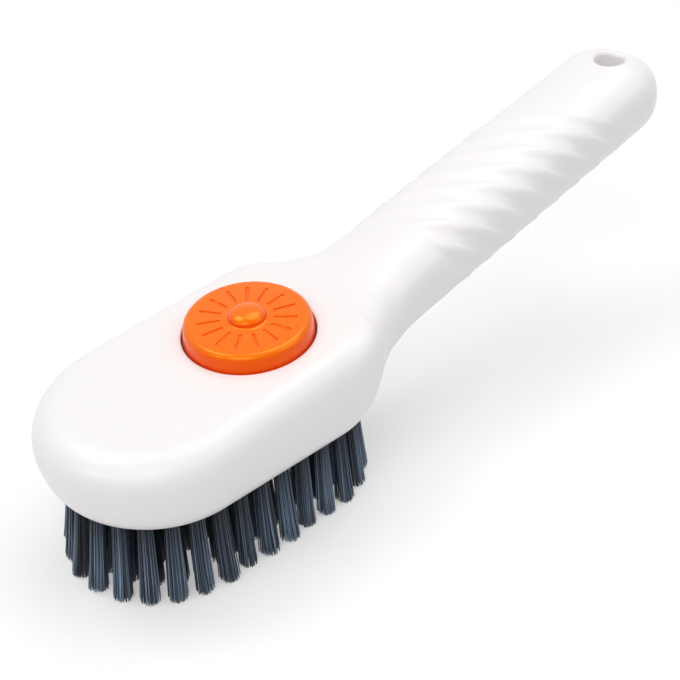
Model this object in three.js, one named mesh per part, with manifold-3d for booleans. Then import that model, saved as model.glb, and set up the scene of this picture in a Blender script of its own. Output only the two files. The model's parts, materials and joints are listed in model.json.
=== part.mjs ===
// Press-to-dispense shoe cleaning brush: a hollow white body with a thick handle, tufted bristles
// under its head, and a press button that opens a spring-closed soap valve among the bristles.
// Millimetres, +Z up, +X from the nose to the handle's end. The origin is under the middle of the
// brush, on the surface that the bristles stand on.

import * as THREE from "three";
import { mergeVertices } from "three/addons/utils/BufferGeometryUtils.js";
import Module from "manifold-3d";

const wasm = await Module();
wasm.setup();

// Overall sizes
const LENGTH = 226.6;
const HEAD_HALF_WIDTH = 29.8;
const HEAD_STRAIGHT = 39.7;
const RIM_HEIGHT = 25.9;
const FACET_RISE = 21.5;
const FACET_TILT = THREE.MathUtils.degToRad(4.8);

// Shape of the head: rim inset, height of its widest line over the rim, and its flat top facet
const RIM_INSET = 4.2;
const WIDEST_RISE = 10.1;
const FACET_SIDE_INSET = 8.4;
const FACET_FRONT_INSET = 12.1;
const FACET_BACK_INSET = 12.55;
const BACK_REACH = 0.8;
const SHOULDER_POWER = 2.8;
const FLANK_POWER = 1.5;

// Handle: half sizes, rise, where its axis crosses the widest line, neck fillet and rounded end.
// The neck's blends run between stations counted from the back end of the rim.
const HANDLE_HALF_WIDTH = 16.2;
const HANDLE_HALF_HEIGHT = 12.6;
const HANDLE_TOP_POWER = 2.7;
const HANDLE_BELOW_POWER = 2.2;
const HANDLE_RISE = THREE.MathUtils.degToRad(13.2);
const AXIS_START = 47.3;
const NECK_FILLET = 46;
const NECK_POWER = 5;
const NECK_BLENDS = {
  spine: [-27, -7],
  top: [-15, 20],
  below: [-7, 7],
  fuller: [-25, -8],
  softer: [-12, 8],
  lean: [-1, 35],
};
const END_CAP = 15.8;
const HANG_HOLE_RADIUS = 4.5;
const HANG_HOLE_FROM_END = 15;

// Walls of the moulding and the gap between seated pieces
const CLEARANCE = 0.3;
const RIM_WALL = 2;
const TOP_WALL = 2.6;
const SIDE_WALL = 6.6;
const HANDLE_WALL = 2;
const LEDGE_WIDTH = 2;
const LEDGE_THICK = 2.5;
const NECK_FLOOR = 3;

// Tuft backing, plate and gasket, stacked upwards from the rim
const BACKING_RECESS = 1;
const BACKING_THICK = 1.5;
const PLATE_THICK = 3.4;
const GASKET_THICK = 0.7;

// Button and its travel
const BUTTON_FROM_FRONT = 32.5;
const BUTTON_RADIUS = 17.2;
const BUTTON_GAP = 0.4;
const BUTTON_PROUD = 4.4;
const BUTTON_DRAFT = 0.6;
const BUTTON_EDGE = 1;
const EDGE_SHARE = 0.3;
const BUTTON_TOP_WALL = 2;
const SKIRT_WALL = 2;
const SKIRT_DEPTH = 1;
const NUB_RADIUS = 3.9;
const NUB_FLARE = 1.6;
const NUB_HEIGHT = 3.2;
const NUB_DOME = [[0, 1], [0.56, 0.93], [0.87, 0.68], [1, 0.36]];
const NUB_FOOT = [[0.3, 0.14], [1, 0]];
const STROKES = 15;
const STROKE_START = 6.6;
const STROKE_END = 13.2;
const STROKE_WIDTH = 1;
const STROKE_DEPTH = 0.4;
const TRAVEL = 3;

// Bayonet cartridge under the button, measured down from the facet
const MOUTH_DEPTH = 5.4;
const COLLAR_WALL = 2;
const FLANGE_INSET = 1.5;
const FLANGE_DEPTH = 6.2;
const FLANGE_THICK = 3.2;
const LUGS = 3;
const LUG_WIDTH = THREE.MathUtils.degToRad(20);
const LUG_PLAY = THREE.MathUtils.degToRad(2);
const LUG_MARGIN = 0.6;
const TURN = THREE.MathUtils.degToRad(40);
const SEAL_THICK = 0.9;
const SEAL_WIDTH = 1.3;
const COLLAR_LEDGE = 1.5;
const SLEEVE_WALL = 1.6;
const SLEEVE_FLOOR = 3;
const SLEEVE_OVER_VALVE = 2.1;
const SNAP_RING_WIDTH = 2;
const SNAP_RING_THICK = 1.2;
const FOOT_THICK = 1.1;
const FOOT_REACH = 0.9;
const GUIDE_WALL = 1.6;

// Plunger stem with its seal
const STEM_RADIUS = 1.9;
const STEM_BELOW_SLEEVE = 0.9;
const STEM_POINT = [[0, 0], [0.6, 0.2], [1, 0.8]];
const BOSS_RADIUS = 4;
const BOSS_DEPTH = 3;
const STEM_SEAL_WIDTH = 1.4;
const STEM_SEAL_THICK = 1.1;
const RETAINER_THICK = 0.6;

// Valve in the middle of the bristles
const SPOUT_DROP = 0.5;
const SPOUT_RADIUS = 5.2;
const VALVE_FLANGE = 8;
const VALVE_BODY = 6;
const VALVE_ABOVE_PLATE = 0.7;
const VALVE_THROAT = 2.3;
const VALVE_CHAMBER = 3.6;
const VALVE_FLOOR = 2;
const POPPET_STEM = 1.4;
const POPPET_TOP = 2.9;
const POPPET_TOP_THICK = 0.8;
const POPPET_HEAD = 4.3;
const POPPET_HEAD_THICK = 1.1;
const POPPET_SEAL_THICK = 0.6;

// Springs: mean radius, wire diameter and turns
const RETURN_SPRING = { radius: 7, wire: 1, turns: 6 };
const POPPET_SPRING = { radius: 2.7, wire: 0.45, turns: 3.5 };
const SPRING_GAP = 0.4;

// Rows of tufts from the plate's edge inwards: number of tufts and outward lean of their tips
const ROW_INSET = 2.4;
const ROW_PITCH = 7;
const ROWS = [
  { tufts: 32, lean: 2.5 },
  { tufts: 30, lean: 1.2 },
  { tufts: 18, lean: 0 },
];
const TUFT_STRANDS = 5;
const TUFT_RADIUS = 1.35;
const TUFT_SPREAD = 1.9;
const STRAND_RADIUS = 0.5;
const TIP_RADIUS = 0.4;
const STRAND_SIDES = 3;
const VALVE_CLEAR = 11;

// Fineness of the facets
const RING_SIDES = 24;
const SMALL_SIDES = 16;
const ARC_STEPS = 7;
const LUG_STEPS = 4;
const COIL_STEPS = 8;
const COIL_SIDES = 5;

// Where the body's sections lie: shares of the facet, steps from the rim's end, shares of the handle
const HEAD_STEPS = [0, 0.05, 0.21, 0.39, 0.56, 0.67, 0.77, 0.86, 0.93, 1];
const NECK_STEPS = [-5.3, -2.8, -1, 0, 2, 5.5, 10.5, 18.5, 28.5];
const HANDLE_STEPS = [0.17, 0.34, 0.51, 0.68, 0.84, 1];
const VOID_NECK_STEPS = [-15.3, -8.3, -1.3, 4.7, 10.7, 24.7];
const VOID_SHARES = [0.35, 0.7, 1];

const { lerp, smoothstep } = THREE.MathUtils;

// Stations are measured along the head from the centre of its front round end
const FRONT_X = -LENGTH / 2 + HEAD_HALF_WIDTH;
const END_STATION = LENGTH - HEAD_HALF_WIDTH;
const CAP_STATION = END_STATION - Math.hypot(END_CAP, HANDLE_HALF_HEIGHT * Math.sin(HANDLE_RISE));
const HANG_STATION = END_STATION - HANG_HOLE_FROM_END;
const WIDEST_HEIGHT = RIM_HEIGHT + WIDEST_RISE;
const RIM_HALF_WIDTH = HEAD_HALF_WIDTH - RIM_INSET;
const FACET_HALF_WIDTH = HEAD_HALF_WIDTH - FACET_SIDE_INSET;
const FACET_FRONT = FACET_HALF_WIDTH - HEAD_HALF_WIDTH + FACET_FRONT_INSET;
const FACET_END = HEAD_STRAIGHT + HEAD_HALF_WIDTH - FACET_BACK_INSET;
const FACET_BACK = FACET_END - FACET_HALF_WIDTH;
const RIM_END = HEAD_STRAIGHT + RIM_HALF_WIDTH;
const WIDEST_BACK = HEAD_STRAIGHT + BACK_REACH;

// Radii and heights of the stack that closes the head from below
const RECESS_RADIUS = RIM_HALF_WIDTH - RIM_WALL;
const PLATE_RADIUS = RECESS_RADIUS - CLEARANCE;
const RESERVOIR_RADIUS = RECESS_RADIUS - LEDGE_WIDTH;
const BACKING_BOTTOM = RIM_HEIGHT + BACKING_RECESS;
const BACKING_TOP = BACKING_BOTTOM + BACKING_THICK;
const PLATE_BOTTOM = BACKING_TOP + CLEARANCE;
const PLATE_TOP = PLATE_BOTTOM + PLATE_THICK;
const GASKET_BOTTOM = PLATE_TOP + CLEARANCE;
const LEDGE_HEIGHT = GASKET_BOTTOM + GASKET_THICK + CLEARANCE;

// Radii and depths of the cartridge
const WELL_RADIUS = BUTTON_RADIUS + BUTTON_GAP;
const COLLAR_RADIUS = WELL_RADIUS + COLLAR_WALL;
const COLLAR_TOP = -TOP_WALL - CLEARANCE;
const FLANGE_RADIUS = WELL_RADIUS - FLANGE_INSET;
const FLANGE_BORE = FLANGE_RADIUS + CLEARANCE;
const LUG_RADIUS = WELL_RADIUS - BUTTON_GAP;
const POCKET_RADIUS = LUG_RADIUS + CLEARANCE;
const FLANGE_TOP = -FLANGE_DEPTH;
const FLANGE_BOTTOM = FLANGE_TOP - FLANGE_THICK;
const LUG_TOP = FLANGE_TOP - LUG_MARGIN;
const LUG_BOTTOM = FLANGE_BOTTOM + 2 * LUG_MARGIN;
const SEAL_TOP = FLANGE_BOTTOM - CLEARANCE;
const LEDGE_TOP = SEAL_TOP - SEAL_THICK - CLEARANCE;
const COLLAR_BOTTOM = LEDGE_TOP - COLLAR_LEDGE;
const TUBE_RADIUS = FLANGE_BORE - CLEARANCE - SEAL_WIDTH - CLEARANCE;
const LEDGE_BORE = TUBE_RADIUS + CLEARANCE;
const SLEEVE_BORE = TUBE_RADIUS - SLEEVE_WALL;
const BUTTON_HEIGHT = facetHeight(BUTTON_FROM_FRONT);
const VALVE_TOP = PLATE_TOP + VALVE_ABOVE_PLATE;
const FLOOR_BOTTOM = (VALVE_TOP + SLEEVE_OVER_VALVE - BUTTON_HEIGHT) / Math.cos(FACET_TILT);
const FLOOR_TOP = FLOOR_BOTTOM + SLEEVE_FLOOR;
const FOOT_RADIUS = SLEEVE_BORE - CLEARANCE;
const GUIDE_RADIUS = FOOT_RADIUS - FOOT_REACH;
const SNAP_INNER = GUIDE_RADIUS + CLEARANCE;
const SNAP_OUTER = SNAP_INNER + SNAP_RING_WIDTH;
const SNAP_TOP = FLANGE_TOP - CLEARANCE / 2;
const SNAP_BOTTOM = SNAP_TOP - SNAP_RING_THICK;
const FOOT_TOP = SNAP_BOTTOM - CLEARANCE;
const FOOT_BOTTOM = FOOT_TOP - FOOT_THICK;
const CAP_UNDERSIDE = BUTTON_PROUD - BUTTON_TOP_WALL;

// Plunger and valve places: the stem's nose rests just over the poppet when the button is up
const STEM_TOP = CAP_UNDERSIDE - 3 * CLEARANCE;
const STEM_NOSE = FLOOR_BOTTOM - STEM_BELOW_SLEEVE;
const STEM_BORE = STEM_RADIUS + CLEARANCE;
const VALVE_STATION = BUTTON_FROM_FRONT + (TRAVEL - STEM_NOSE) * Math.sin(FACET_TILT);
const POPPET_PEAK = BUTTON_HEIGHT + STEM_NOSE * Math.cos(FACET_TILT) - CLEARANCE;
const SPOUT_BOTTOM = RIM_HEIGHT - SPOUT_DROP;
const CHAMBER_FLOOR = SPOUT_BOTTOM + VALVE_FLOOR;

// Colours as seen on the brush
const WHITE = { color: 0xf4f4f2, roughness: 0.22, metalness: 0 };
const ORANGE = { color: 0xf47a22, roughness: 0.3, metalness: 0 };
const SLATE = { color: 0x4a5868, roughness: 0.5, metalness: 0 };
const NATURAL = { color: 0xe2e1dc, roughness: 0.45, metalness: 0 };
const RUBBER = { color: 0x2b2b2d, roughness: 0.8, metalness: 0 };
const STEEL = { color: 0xb9bcc0, roughness: 0.3, metalness: 1 };

// Reverses the triangles of a closed geometry whose faces point inwards
function facingOut(geometry) {
  const bare = new THREE.BufferGeometry().setAttribute("position", geometry.getAttribute("position"));
  bare.setIndex(geometry.index);
  const merged = mergeVertices(bare, 1e-4);
  const point = merged.getAttribute("position");
  const corners = merged.index.array;
  const [a, b, c] = [new THREE.Vector3(), new THREE.Vector3(), new THREE.Vector3()];
  let volume = 0;
  for (let i = 0; i < corners.length; i += 3) {
    a.fromBufferAttribute(point, corners[i]);
    b.fromBufferAttribute(point, corners[i + 1]);
    c.fromBufferAttribute(point, corners[i + 2]);
    volume += a.dot(b.cross(c));
  }
  if (volume < 0) merged.setIndex([...corners].reverse());
  return merged;
}

// A closed geometry as a solid that can be joined and cut
function solid(geometry) {
  const closed = facingOut(geometry);
  return new wasm.Manifold(
    new wasm.Mesh({
      numProp: 3,
      vertProperties: new Float32Array(closed.getAttribute("position").array),
      triVerts: new Uint32Array(closed.index.array),
    }),
  );
}

function geometryOf(joined) {
  const mesh = joined.getMesh();
  return new THREE.BufferGeometry()
    .setAttribute("position", new THREE.BufferAttribute(mesh.vertProperties, 3))
    .setIndex(new THREE.BufferAttribute(mesh.triVerts, 1));
}

// A piece turned about the Z axis from [radius, height] points that end on the axis or close
function turned(points, sides = RING_SIDES) {
  const profile = points.map(([radius, height]) => new THREE.Vector2(radius, height));
  return facingOut(new THREE.LatheGeometry(profile, sides).rotateX(Math.PI / 2));
}

function ring(inner, outer, bottom, top, sides = RING_SIDES) {
  return turned(
    [[inner, bottom], [outer, bottom], [outer, top], [inner, top], [inner, bottom]],
    sides,
  );
}

function disc(radius, bottom, top, sides = RING_SIDES) {
  return turned([[0, bottom], [radius, bottom], [radius, top], [0, top]], sides);
}

function raised(shape, bottom, top, curveSegments = 2 * ARC_STEPS) {
  const settings = { depth: top - bottom, bevelEnabled: false, curveSegments };
  return new THREE.ExtrudeGeometry(shape, settings).translate(0, 0, bottom);
}

// An outline with two round ends, from one centre to the other along the head
function stadium(radius, front = 0, back = HEAD_STRAIGHT) {
  return new THREE.Shape()
    .absarc(back, 0, radius, -Math.PI / 2, Math.PI / 2)
    .absarc(front, 0, radius, Math.PI / 2, 1.5 * Math.PI);
}

function sector(inner, outer, from, to) {
  return new THREE.Shape().absarc(0, 0, outer, from, to).absarc(0, 0, inner, to, from, true);
}

// A skin over columns of points, each column running from one end of the section to the other
function skinned(columns) {
  const rows = columns[0].length;
  const corners = [];
  for (let i = 0; i < columns.length - 1; i++) {
    for (let j = 0; j < rows - 1; j++) {
      const a = i * rows + j;
      const b = a + rows;
      corners.push(a, b, b + 1, a, b + 1, a + 1);
    }
  }
  const points = new Float32Array(columns.flat().flatMap((p) => [p.x, p.y, p.z]));
  return facingOut(
    new THREE.BufferGeometry()
      .setAttribute("position", new THREE.BufferAttribute(points, 3))
      .setIndex(corners),
  );
}

// Outline of the body along its length
function facetHeight(station) {
  return RIM_HEIGHT + FACET_RISE + Math.tan(FACET_TILT) * station;
}

function axisHeight(station) {
  return WIDEST_HEIGHT + Math.tan(HANDLE_RISE) * (station - AXIS_START);
}

function arcHalfWidth(radius, centre, station) {
  const past = Math.max(0, station - centre);
  return Math.sqrt(Math.max(0, radius ** 2 - past ** 2));
}

// Half width in plan: the head's round back end, a hollow fillet, then the handle
function planHalfWidth(station) {
  const reach = Math.sqrt(
    (HEAD_HALF_WIDTH + NECK_FILLET) ** 2 - (HANDLE_HALF_WIDTH + NECK_FILLET) ** 2,
  );
  const leaves = WIDEST_BACK + (reach * HEAD_HALF_WIDTH) / (HEAD_HALF_WIDTH + NECK_FILLET);
  const meets = WIDEST_BACK + reach;
  if (station < leaves) return arcHalfWidth(HEAD_HALF_WIDTH, WIDEST_BACK, station);
  const left = Math.max(0, meets - station);
  return HANDLE_HALF_WIDTH + NECK_FILLET - Math.sqrt(NECK_FILLET ** 2 - left ** 2);
}

// Section at a station: half widths of its flat bottom, widest line and flat top, its spine height,
// the reach above and below the spine, and its lean towards the handle's axis
function sectionAt(station) {
  const blend = (stretch) => smoothstep(station - RIM_END, ...stretch);
  const spine = lerp(WIDEST_HEIGHT, axisHeight(station), blend(NECK_BLENDS.spine));
  const toHandle = blend(NECK_BLENDS.top);
  const underHandle = blend(NECK_BLENDS.below);
  const shoulder = lerp(SHOULDER_POWER, NECK_POWER, blend(NECK_BLENDS.fuller));
  return {
    wide: planHalfWidth(station),
    bottom: arcHalfWidth(RIM_HALF_WIDTH, HEAD_STRAIGHT, station),
    top: arcHalfWidth(FACET_HALF_WIDTH, FACET_BACK, station),
    spine,
    above: lerp(facetHeight(station) - spine, HANDLE_HALF_HEIGHT, toHandle),
    below: lerp(spine - RIM_HEIGHT, HANDLE_HALF_HEIGHT, underHandle),
    topPower: lerp(shoulder, HANDLE_TOP_POWER, blend(NECK_BLENDS.softer)),
    belowPower: lerp(FLANK_POWER, HANDLE_BELOW_POWER, underHandle),
    lean: HANDLE_RISE * blend(NECK_BLENDS.lean),
  };
}

// Half profile from the bottom's middle, out round the widest line, to the top's middle
function halfProfile({ wide, bottom, top, above, below, topPower, belowPower }, size = 1) {
  const points = [[0, -below]];
  for (let i = 0; i <= ARC_STEPS; i++) {
    const turn = (i / ARC_STEPS) * (Math.PI / 2);
    const [sine, cosine] = [Math.sin(turn), Math.cos(turn)].map((v) => Math.abs(v) ** (2 / belowPower));
    points.push([bottom + (wide - bottom) * sine, -below * cosine]);
  }
  for (let i = 1; i <= ARC_STEPS; i++) {
    const turn = (i / ARC_STEPS) * (Math.PI / 2);
    const [sine, cosine] = [Math.sin(turn), Math.cos(turn)].map((v) => Math.abs(v) ** (2 / topPower));
    points.push([top + (wide - top) * cosine, above * sine]);
  }
  points.push([0, above]);
  return points.map(([across, up]) => [across * size, up * size]);
}

function sideColumn(station, side, size = 1) {
  const section = sectionAt(station);
  return halfProfile(section, size).map(
    ([across, up]) =>
      new THREE.Vector3(
        station - up * Math.sin(section.lean),
        side * across,
        section.spine + up * Math.cos(section.lean),
      ),
  );
}

// The nose's profile at a turn about the front centre, with the facet's edge on its own circle
function noseColumn(turn) {
  const [along, across] = [Math.cos(turn), Math.sin(turn)];
  const edge = FACET_FRONT * along + Math.sqrt(FACET_HALF_WIDTH ** 2 - (FACET_FRONT * across) ** 2);
  const profile = halfProfile({
    wide: HEAD_HALF_WIDTH,
    bottom: RIM_HALF_WIDTH,
    top: edge,
    above: facetHeight(edge * along) - WIDEST_HEIGHT,
    below: WIDEST_RISE,
    topPower: SHOULDER_POWER,
    belowPower: FLANK_POWER,
  });
  profile[profile.length - 1][1] = facetHeight(0) - WIDEST_HEIGHT;
  return profile.map(
    ([out, up]) => new THREE.Vector3(out * along, out * across, WIDEST_HEIGHT + up),
  );
}

function bodyOutside() {
  const neck = NECK_STEPS.map((step) => RIM_END + step);
  const stations = [
    ...HEAD_STEPS.map((share) => share * FACET_END),
    ...neck,
    ...HANDLE_STEPS.map((share) => lerp(neck.at(-1), CAP_STATION, share)),
  ];
  const side = (sign) => {
    const columns = stations.map((station) => sideColumn(station, sign));
    for (let i = 1; i <= ARC_STEPS; i++) {
      const turn = (i / ARC_STEPS) * (Math.PI / 2);
      columns.push(sideColumn(CAP_STATION + END_CAP * Math.sin(turn), sign, Math.cos(turn)));
    }
    return columns;
  };
  const nose = [];
  for (let i = 1; i < 2 * ARC_STEPS; i++) {
    nose.push(noseColumn((0.5 + i / (2 * ARC_STEPS)) * Math.PI));
  }
  return solid(skinned([...side(1).reverse(), ...nose, ...side(-1)]));
}

// Hollow of the handle, opening into the head and running round the tube of the hang hole
function handleVoid() {
  const neck = VOID_NECK_STEPS.map((step) => RIM_END + step);
  const handle = VOID_SHARES.map((share) => lerp(neck.at(-1), CAP_STATION, share));
  const columns = [...neck, ...handle].map((station) => voidColumn(station));
  const middle = columns[0].reduce((sum, point) => sum.add(point), new THREE.Vector3());
  middle.divideScalar(columns[0].length);
  columns.unshift(columns[0].map(() => middle.clone()));
  for (let i = 1; i <= ARC_STEPS; i++) {
    const turn = (i / ARC_STEPS) * (Math.PI / 2);
    columns.push(voidColumn(CAP_STATION + (END_CAP - HANDLE_WALL) * Math.sin(turn), Math.cos(turn)));
  }
  return solid(skinned(columns)).subtract(hangBore(HANG_HOLE_RADIUS + HANDLE_WALL));
}

// An oval round the hollow at a station, over the ledge in the head and inside the handle's walls
function voidColumn(station, size = 1) {
  const { spine, above, below, lean } = sectionAt(station);
  const sides = 2 * ARC_STEPS;
  const intoHandle = smoothstep(station - RIM_END, VOID_NECK_STEPS[2], VOID_NECK_STEPS[4]);
  const low = lerp(LEDGE_HEIGHT + NECK_FLOOR - spine, HANDLE_WALL - below, intoHandle);
  const high = above - HANDLE_WALL;
  return Array.from({ length: sides + 1 }, (_, i) => {
    const turn = ((i % sides) / sides) * 2 * Math.PI;
    const up = size * ((high + low) / 2 + ((high - low) / 2) * Math.sin(turn));
    const across = size * (HANDLE_HALF_WIDTH - HANDLE_WALL) * Math.cos(turn);
    return new THREE.Vector3(station - up * Math.sin(lean), across, spine + up * Math.cos(lean));
  });
}

function hangBore(radius) {
  const bore = disc(radius, RIM_HEIGHT, 2 * axisHeight(END_STATION), SMALL_SIDES);
  return solid(bore.translate(HANG_STATION, 0, 0));
}

// Reservoir in the head, its top wall following the facet
function reservoir() {
  const roof = facetHeight(END_STATION);
  const mouth = raised(stadium(RESERVOIR_RADIUS), LEDGE_HEIGHT - RIM_WALL, roof);
  const chamber = raised(stadium(HEAD_HALF_WIDTH - SIDE_WALL), LEDGE_HEIGHT + LEDGE_THICK, roof);
  const under = new THREE.BoxGeometry(LENGTH, LENGTH, LENGTH);
  under.translate(0, 0, -LENGTH / 2 - TOP_WALL);
  under.applyMatrix4(mechanism.matrix);
  return solid(mouth).add(solid(chamber)).intersect(solid(under));
}

function bodyShell() {
  const well = disc(WELL_RADIUS, -MOUTH_DEPTH, BUTTON_PROUD).applyMatrix4(mechanism.matrix);
  const collarSeat = disc(COLLAR_RADIUS + CLEARANCE, COLLAR_BOTTOM, -TOP_WALL);
  collarSeat.applyMatrix4(mechanism.matrix);
  const recess = raised(stadium(RECESS_RADIUS), RIM_HEIGHT - RIM_WALL, LEDGE_HEIGHT);
  return geometryOf(
    bodyOutside()
      .subtract(reservoir().add(handleVoid()))
      .subtract(solid(recess))
      .subtract(solid(collarSeat))
      .subtract(solid(well))
      .subtract(hangBore(HANG_HOLE_RADIUS)),
  );
}

// Pieces that close the head from below
function bristlePlate() {
  const bore = disc(VALVE_BODY + CLEARANCE, BACKING_BOTTOM, LEDGE_HEIGHT, SMALL_SIDES);
  bore.translate(VALVE_STATION, 0, 0);
  return geometryOf(solid(raised(stadium(PLATE_RADIUS), PLATE_BOTTOM, PLATE_TOP)).subtract(solid(bore)));
}

function plateGasket() {
  const outline = stadium(PLATE_RADIUS);
  outline.holes.push(stadium(RESERVOIR_RADIUS + CLEARANCE));
  return raised(outline, GASKET_BOTTOM, GASKET_BOTTOM + GASKET_THICK);
}

// A strand of a tuft, from inside the backing down to the flat it stands on
function strand(base, tip) {
  const round = (centre, radius) =>
    Array.from({ length: STRAND_SIDES + 1 }, (_, i) => {
      const turn = ((i % STRAND_SIDES) / STRAND_SIDES) * 2 * Math.PI;
      return new THREE.Vector3(radius * Math.cos(turn), radius * Math.sin(turn), 0).add(centre);
    });
  const point = (centre) => Array.from({ length: STRAND_SIDES + 1 }, () => centre.clone());
  return solid(
    skinned([point(base), round(base, STRAND_RADIUS), round(tip, TIP_RADIUS), point(tip)]),
  );
}

// Distance of a row of tufts, and of the edge inside it, from the head's centre line
function rowOffset(row) {
  return PLATE_RADIUS - ROW_INSET - row * ROW_PITCH;
}

function rowEdge(row) {
  return rowOffset(row) - ROW_PITCH / 2;
}

// Places of a row's tufts round the head's centre line, with the way outwards at each. Their tips are evenly spaced
function rowPlaces(row) {
  const offset = rowOffset(row);
  const { tufts: count, lean } = ROWS[row];
  const half = HEAD_STRAIGHT / 2;
  const reach = offset + lean;
  const arc = Math.PI * reach;
  const around = 2 * HEAD_STRAIGHT + 2 * arc;
  return Array.from({ length: count }, (_, i) => {
    const far = (((i + 0.5) / count) * around + half) % around;
    if (far < HEAD_STRAIGHT) return { along: far, across: -offset, out: [0, -1] };
    if (far < HEAD_STRAIGHT + arc) {
      const turn = (far - HEAD_STRAIGHT) / reach - Math.PI / 2;
      const out = [Math.cos(turn), Math.sin(turn)];
      return { along: HEAD_STRAIGHT + offset * out[0], across: offset * out[1], out };
    }
    if (far < 2 * HEAD_STRAIGHT + arc)
      return { along: 2 * HEAD_STRAIGHT + arc - far, across: offset, out: [0, 1] };
    const turn = (far - 2 * HEAD_STRAIGHT - arc) / reach + Math.PI / 2;
    const out = [Math.cos(turn), Math.sin(turn)];
    return { along: offset * out[0], across: offset * out[1], out };
  });
}

// Tufts of a row fused to their slice of the backing
function tufts(row, backing, keeps) {
  const depth = BACKING_BOTTOM + BACKING_THICK / 2;
  const { lean } = ROWS[row];
  const strands = rowPlaces(row).filter(keeps).flatMap(({ along, across, out }) => {
    const inTuft = Array.from({ length: TUFT_STRANDS }, (_, i) => (i / TUFT_STRANDS) * 2 * Math.PI);
    const offsets = [[0, 0], ...inTuft.map((turn) => [Math.cos(turn), Math.sin(turn)])];
    return offsets.map(([dx, dy]) =>
      strand(
        new THREE.Vector3(along + TUFT_RADIUS * dx, across + TUFT_RADIUS * dy, depth),
        new THREE.Vector3(
          along + lean * out[0] + TUFT_SPREAD * dx,
          across + lean * out[1] + TUFT_SPREAD * dy,
          0,
        ),
      ),
    );
  });
  return geometryOf(wasm.Manifold.union([solid(raised(backing, BACKING_BOTTOM, BACKING_TOP)), ...strands]));
}

function halfRing(sign) {
  const middle = HEAD_STRAIGHT / 2 + (sign * CLEARANCE) / 2;
  const centre = sign > 0 ? HEAD_STRAIGHT : 0;
  const [inner, outer] = [rowEdge(0) + CLEARANCE / 2, PLATE_RADIUS];
  const start = -Math.PI / 2;
  const outline = new THREE.Shape();
  outline.moveTo(middle, -inner);
  outline.lineTo(middle, -outer);
  outline.absarc(centre, 0, outer, start, -start, sign < 0);
  outline.lineTo(middle, outer);
  outline.lineTo(middle, inner);
  outline.absarc(centre, 0, inner, -start, start, sign > 0);
  return outline;
}

function middleBacking() {
  const outline = stadium(rowEdge(0) - CLEARANCE / 2);
  outline.holes.push(stadium(rowEdge(1) + CLEARANCE / 2));
  return outline;
}

function innerBacking() {
  const outline = stadium(rowEdge(1) - CLEARANCE / 2);
  const hole = new THREE.Path().absarc(VALVE_STATION, 0, VALVE_FLANGE + CLEARANCE, 0, 2 * Math.PI);
  outline.holes.push(hole);
  return outline;
}

// Cartridge pieces, in the button's own frame: +Z out along its axis, 0 on the facet
function fillerCollar() {
  const bored = turned([
    [LEDGE_BORE, COLLAR_BOTTOM],
    [COLLAR_RADIUS, COLLAR_BOTTOM],
    [COLLAR_RADIUS, COLLAR_TOP],
    [WELL_RADIUS, COLLAR_TOP],
    [WELL_RADIUS, -MOUTH_DEPTH],
    [FLANGE_BORE, -MOUTH_DEPTH],
    [FLANGE_BORE, LEDGE_TOP],
    [LEDGE_BORE, LEDGE_TOP],
    [LEDGE_BORE, COLLAR_BOTTOM],
  ]);
  const half = LUG_WIDTH / 2 + LUG_PLAY;
  const [low, high] = [LUG_BOTTOM - CLEARANCE, LUG_TOP + CLEARANCE];
  const cut = (from, to, top) =>
    solid(raised(sector(TUBE_RADIUS, POCKET_RADIUS, from, to), low, top, LUG_STEPS));
  const cuts = lugAngles().flatMap((angle) => [
    cut(angle - half, angle + TURN + half, high),
    cut(angle + TURN - half, angle + TURN + half, 0),
  ]);
  return geometryOf(solid(bored).subtract(wasm.Manifold.union(cuts)));
}

function lugAngles() {
  return Array.from({ length: LUGS }, (_, i) => (i / LUGS) * 2 * Math.PI);
}

function guideSleeve() {
  const sealBore = STEM_BORE + STEM_SEAL_WIDTH + CLEARANCE;
  const sealFloor = FLOOR_TOP - RETAINER_THICK - STEM_SEAL_THICK - 2 * CLEARANCE;
  const sleeve = turned([
    [STEM_BORE, FLOOR_BOTTOM],
    [TUBE_RADIUS, FLOOR_BOTTOM],
    [TUBE_RADIUS, FLANGE_BOTTOM],
    [FLANGE_RADIUS, FLANGE_BOTTOM],
    [FLANGE_RADIUS, FLANGE_TOP],
    [SNAP_OUTER + CLEARANCE, FLANGE_TOP],
    [SNAP_OUTER + CLEARANCE, SNAP_BOTTOM - CLEARANCE / 2],
    [SLEEVE_BORE, SNAP_BOTTOM - CLEARANCE / 2],
    [SLEEVE_BORE, FLOOR_TOP],
    [sealBore, FLOOR_TOP],
    [sealBore, sealFloor],
    [STEM_BORE, sealFloor],
    [STEM_BORE, FLOOR_BOTTOM],
  ]);
  const lugs = lugAngles().map((angle) =>
    solid(
      raised(
        sector(SLEEVE_BORE + SLEEVE_WALL, LUG_RADIUS, angle - LUG_WIDTH / 2, angle + LUG_WIDTH / 2),
        LUG_BOTTOM,
        LUG_TOP,
        LUG_STEPS,
      ),
    ),
  );
  return geometryOf(wasm.Manifold.union([solid(sleeve), ...lugs]));
}

function stemSeal() {
  const top = FLOOR_TOP - RETAINER_THICK - CLEARANCE;
  return ring(STEM_BORE, STEM_BORE + STEM_SEAL_WIDTH, top - STEM_SEAL_THICK, top, SMALL_SIDES);
}

function sealRetainer() {
  return ring(
    STEM_BORE + CLEARANCE / 2,
    STEM_BORE + STEM_SEAL_WIDTH,
    FLOOR_TOP - RETAINER_THICK,
    FLOOR_TOP,
    SMALL_SIDES,
  );
}

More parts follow.
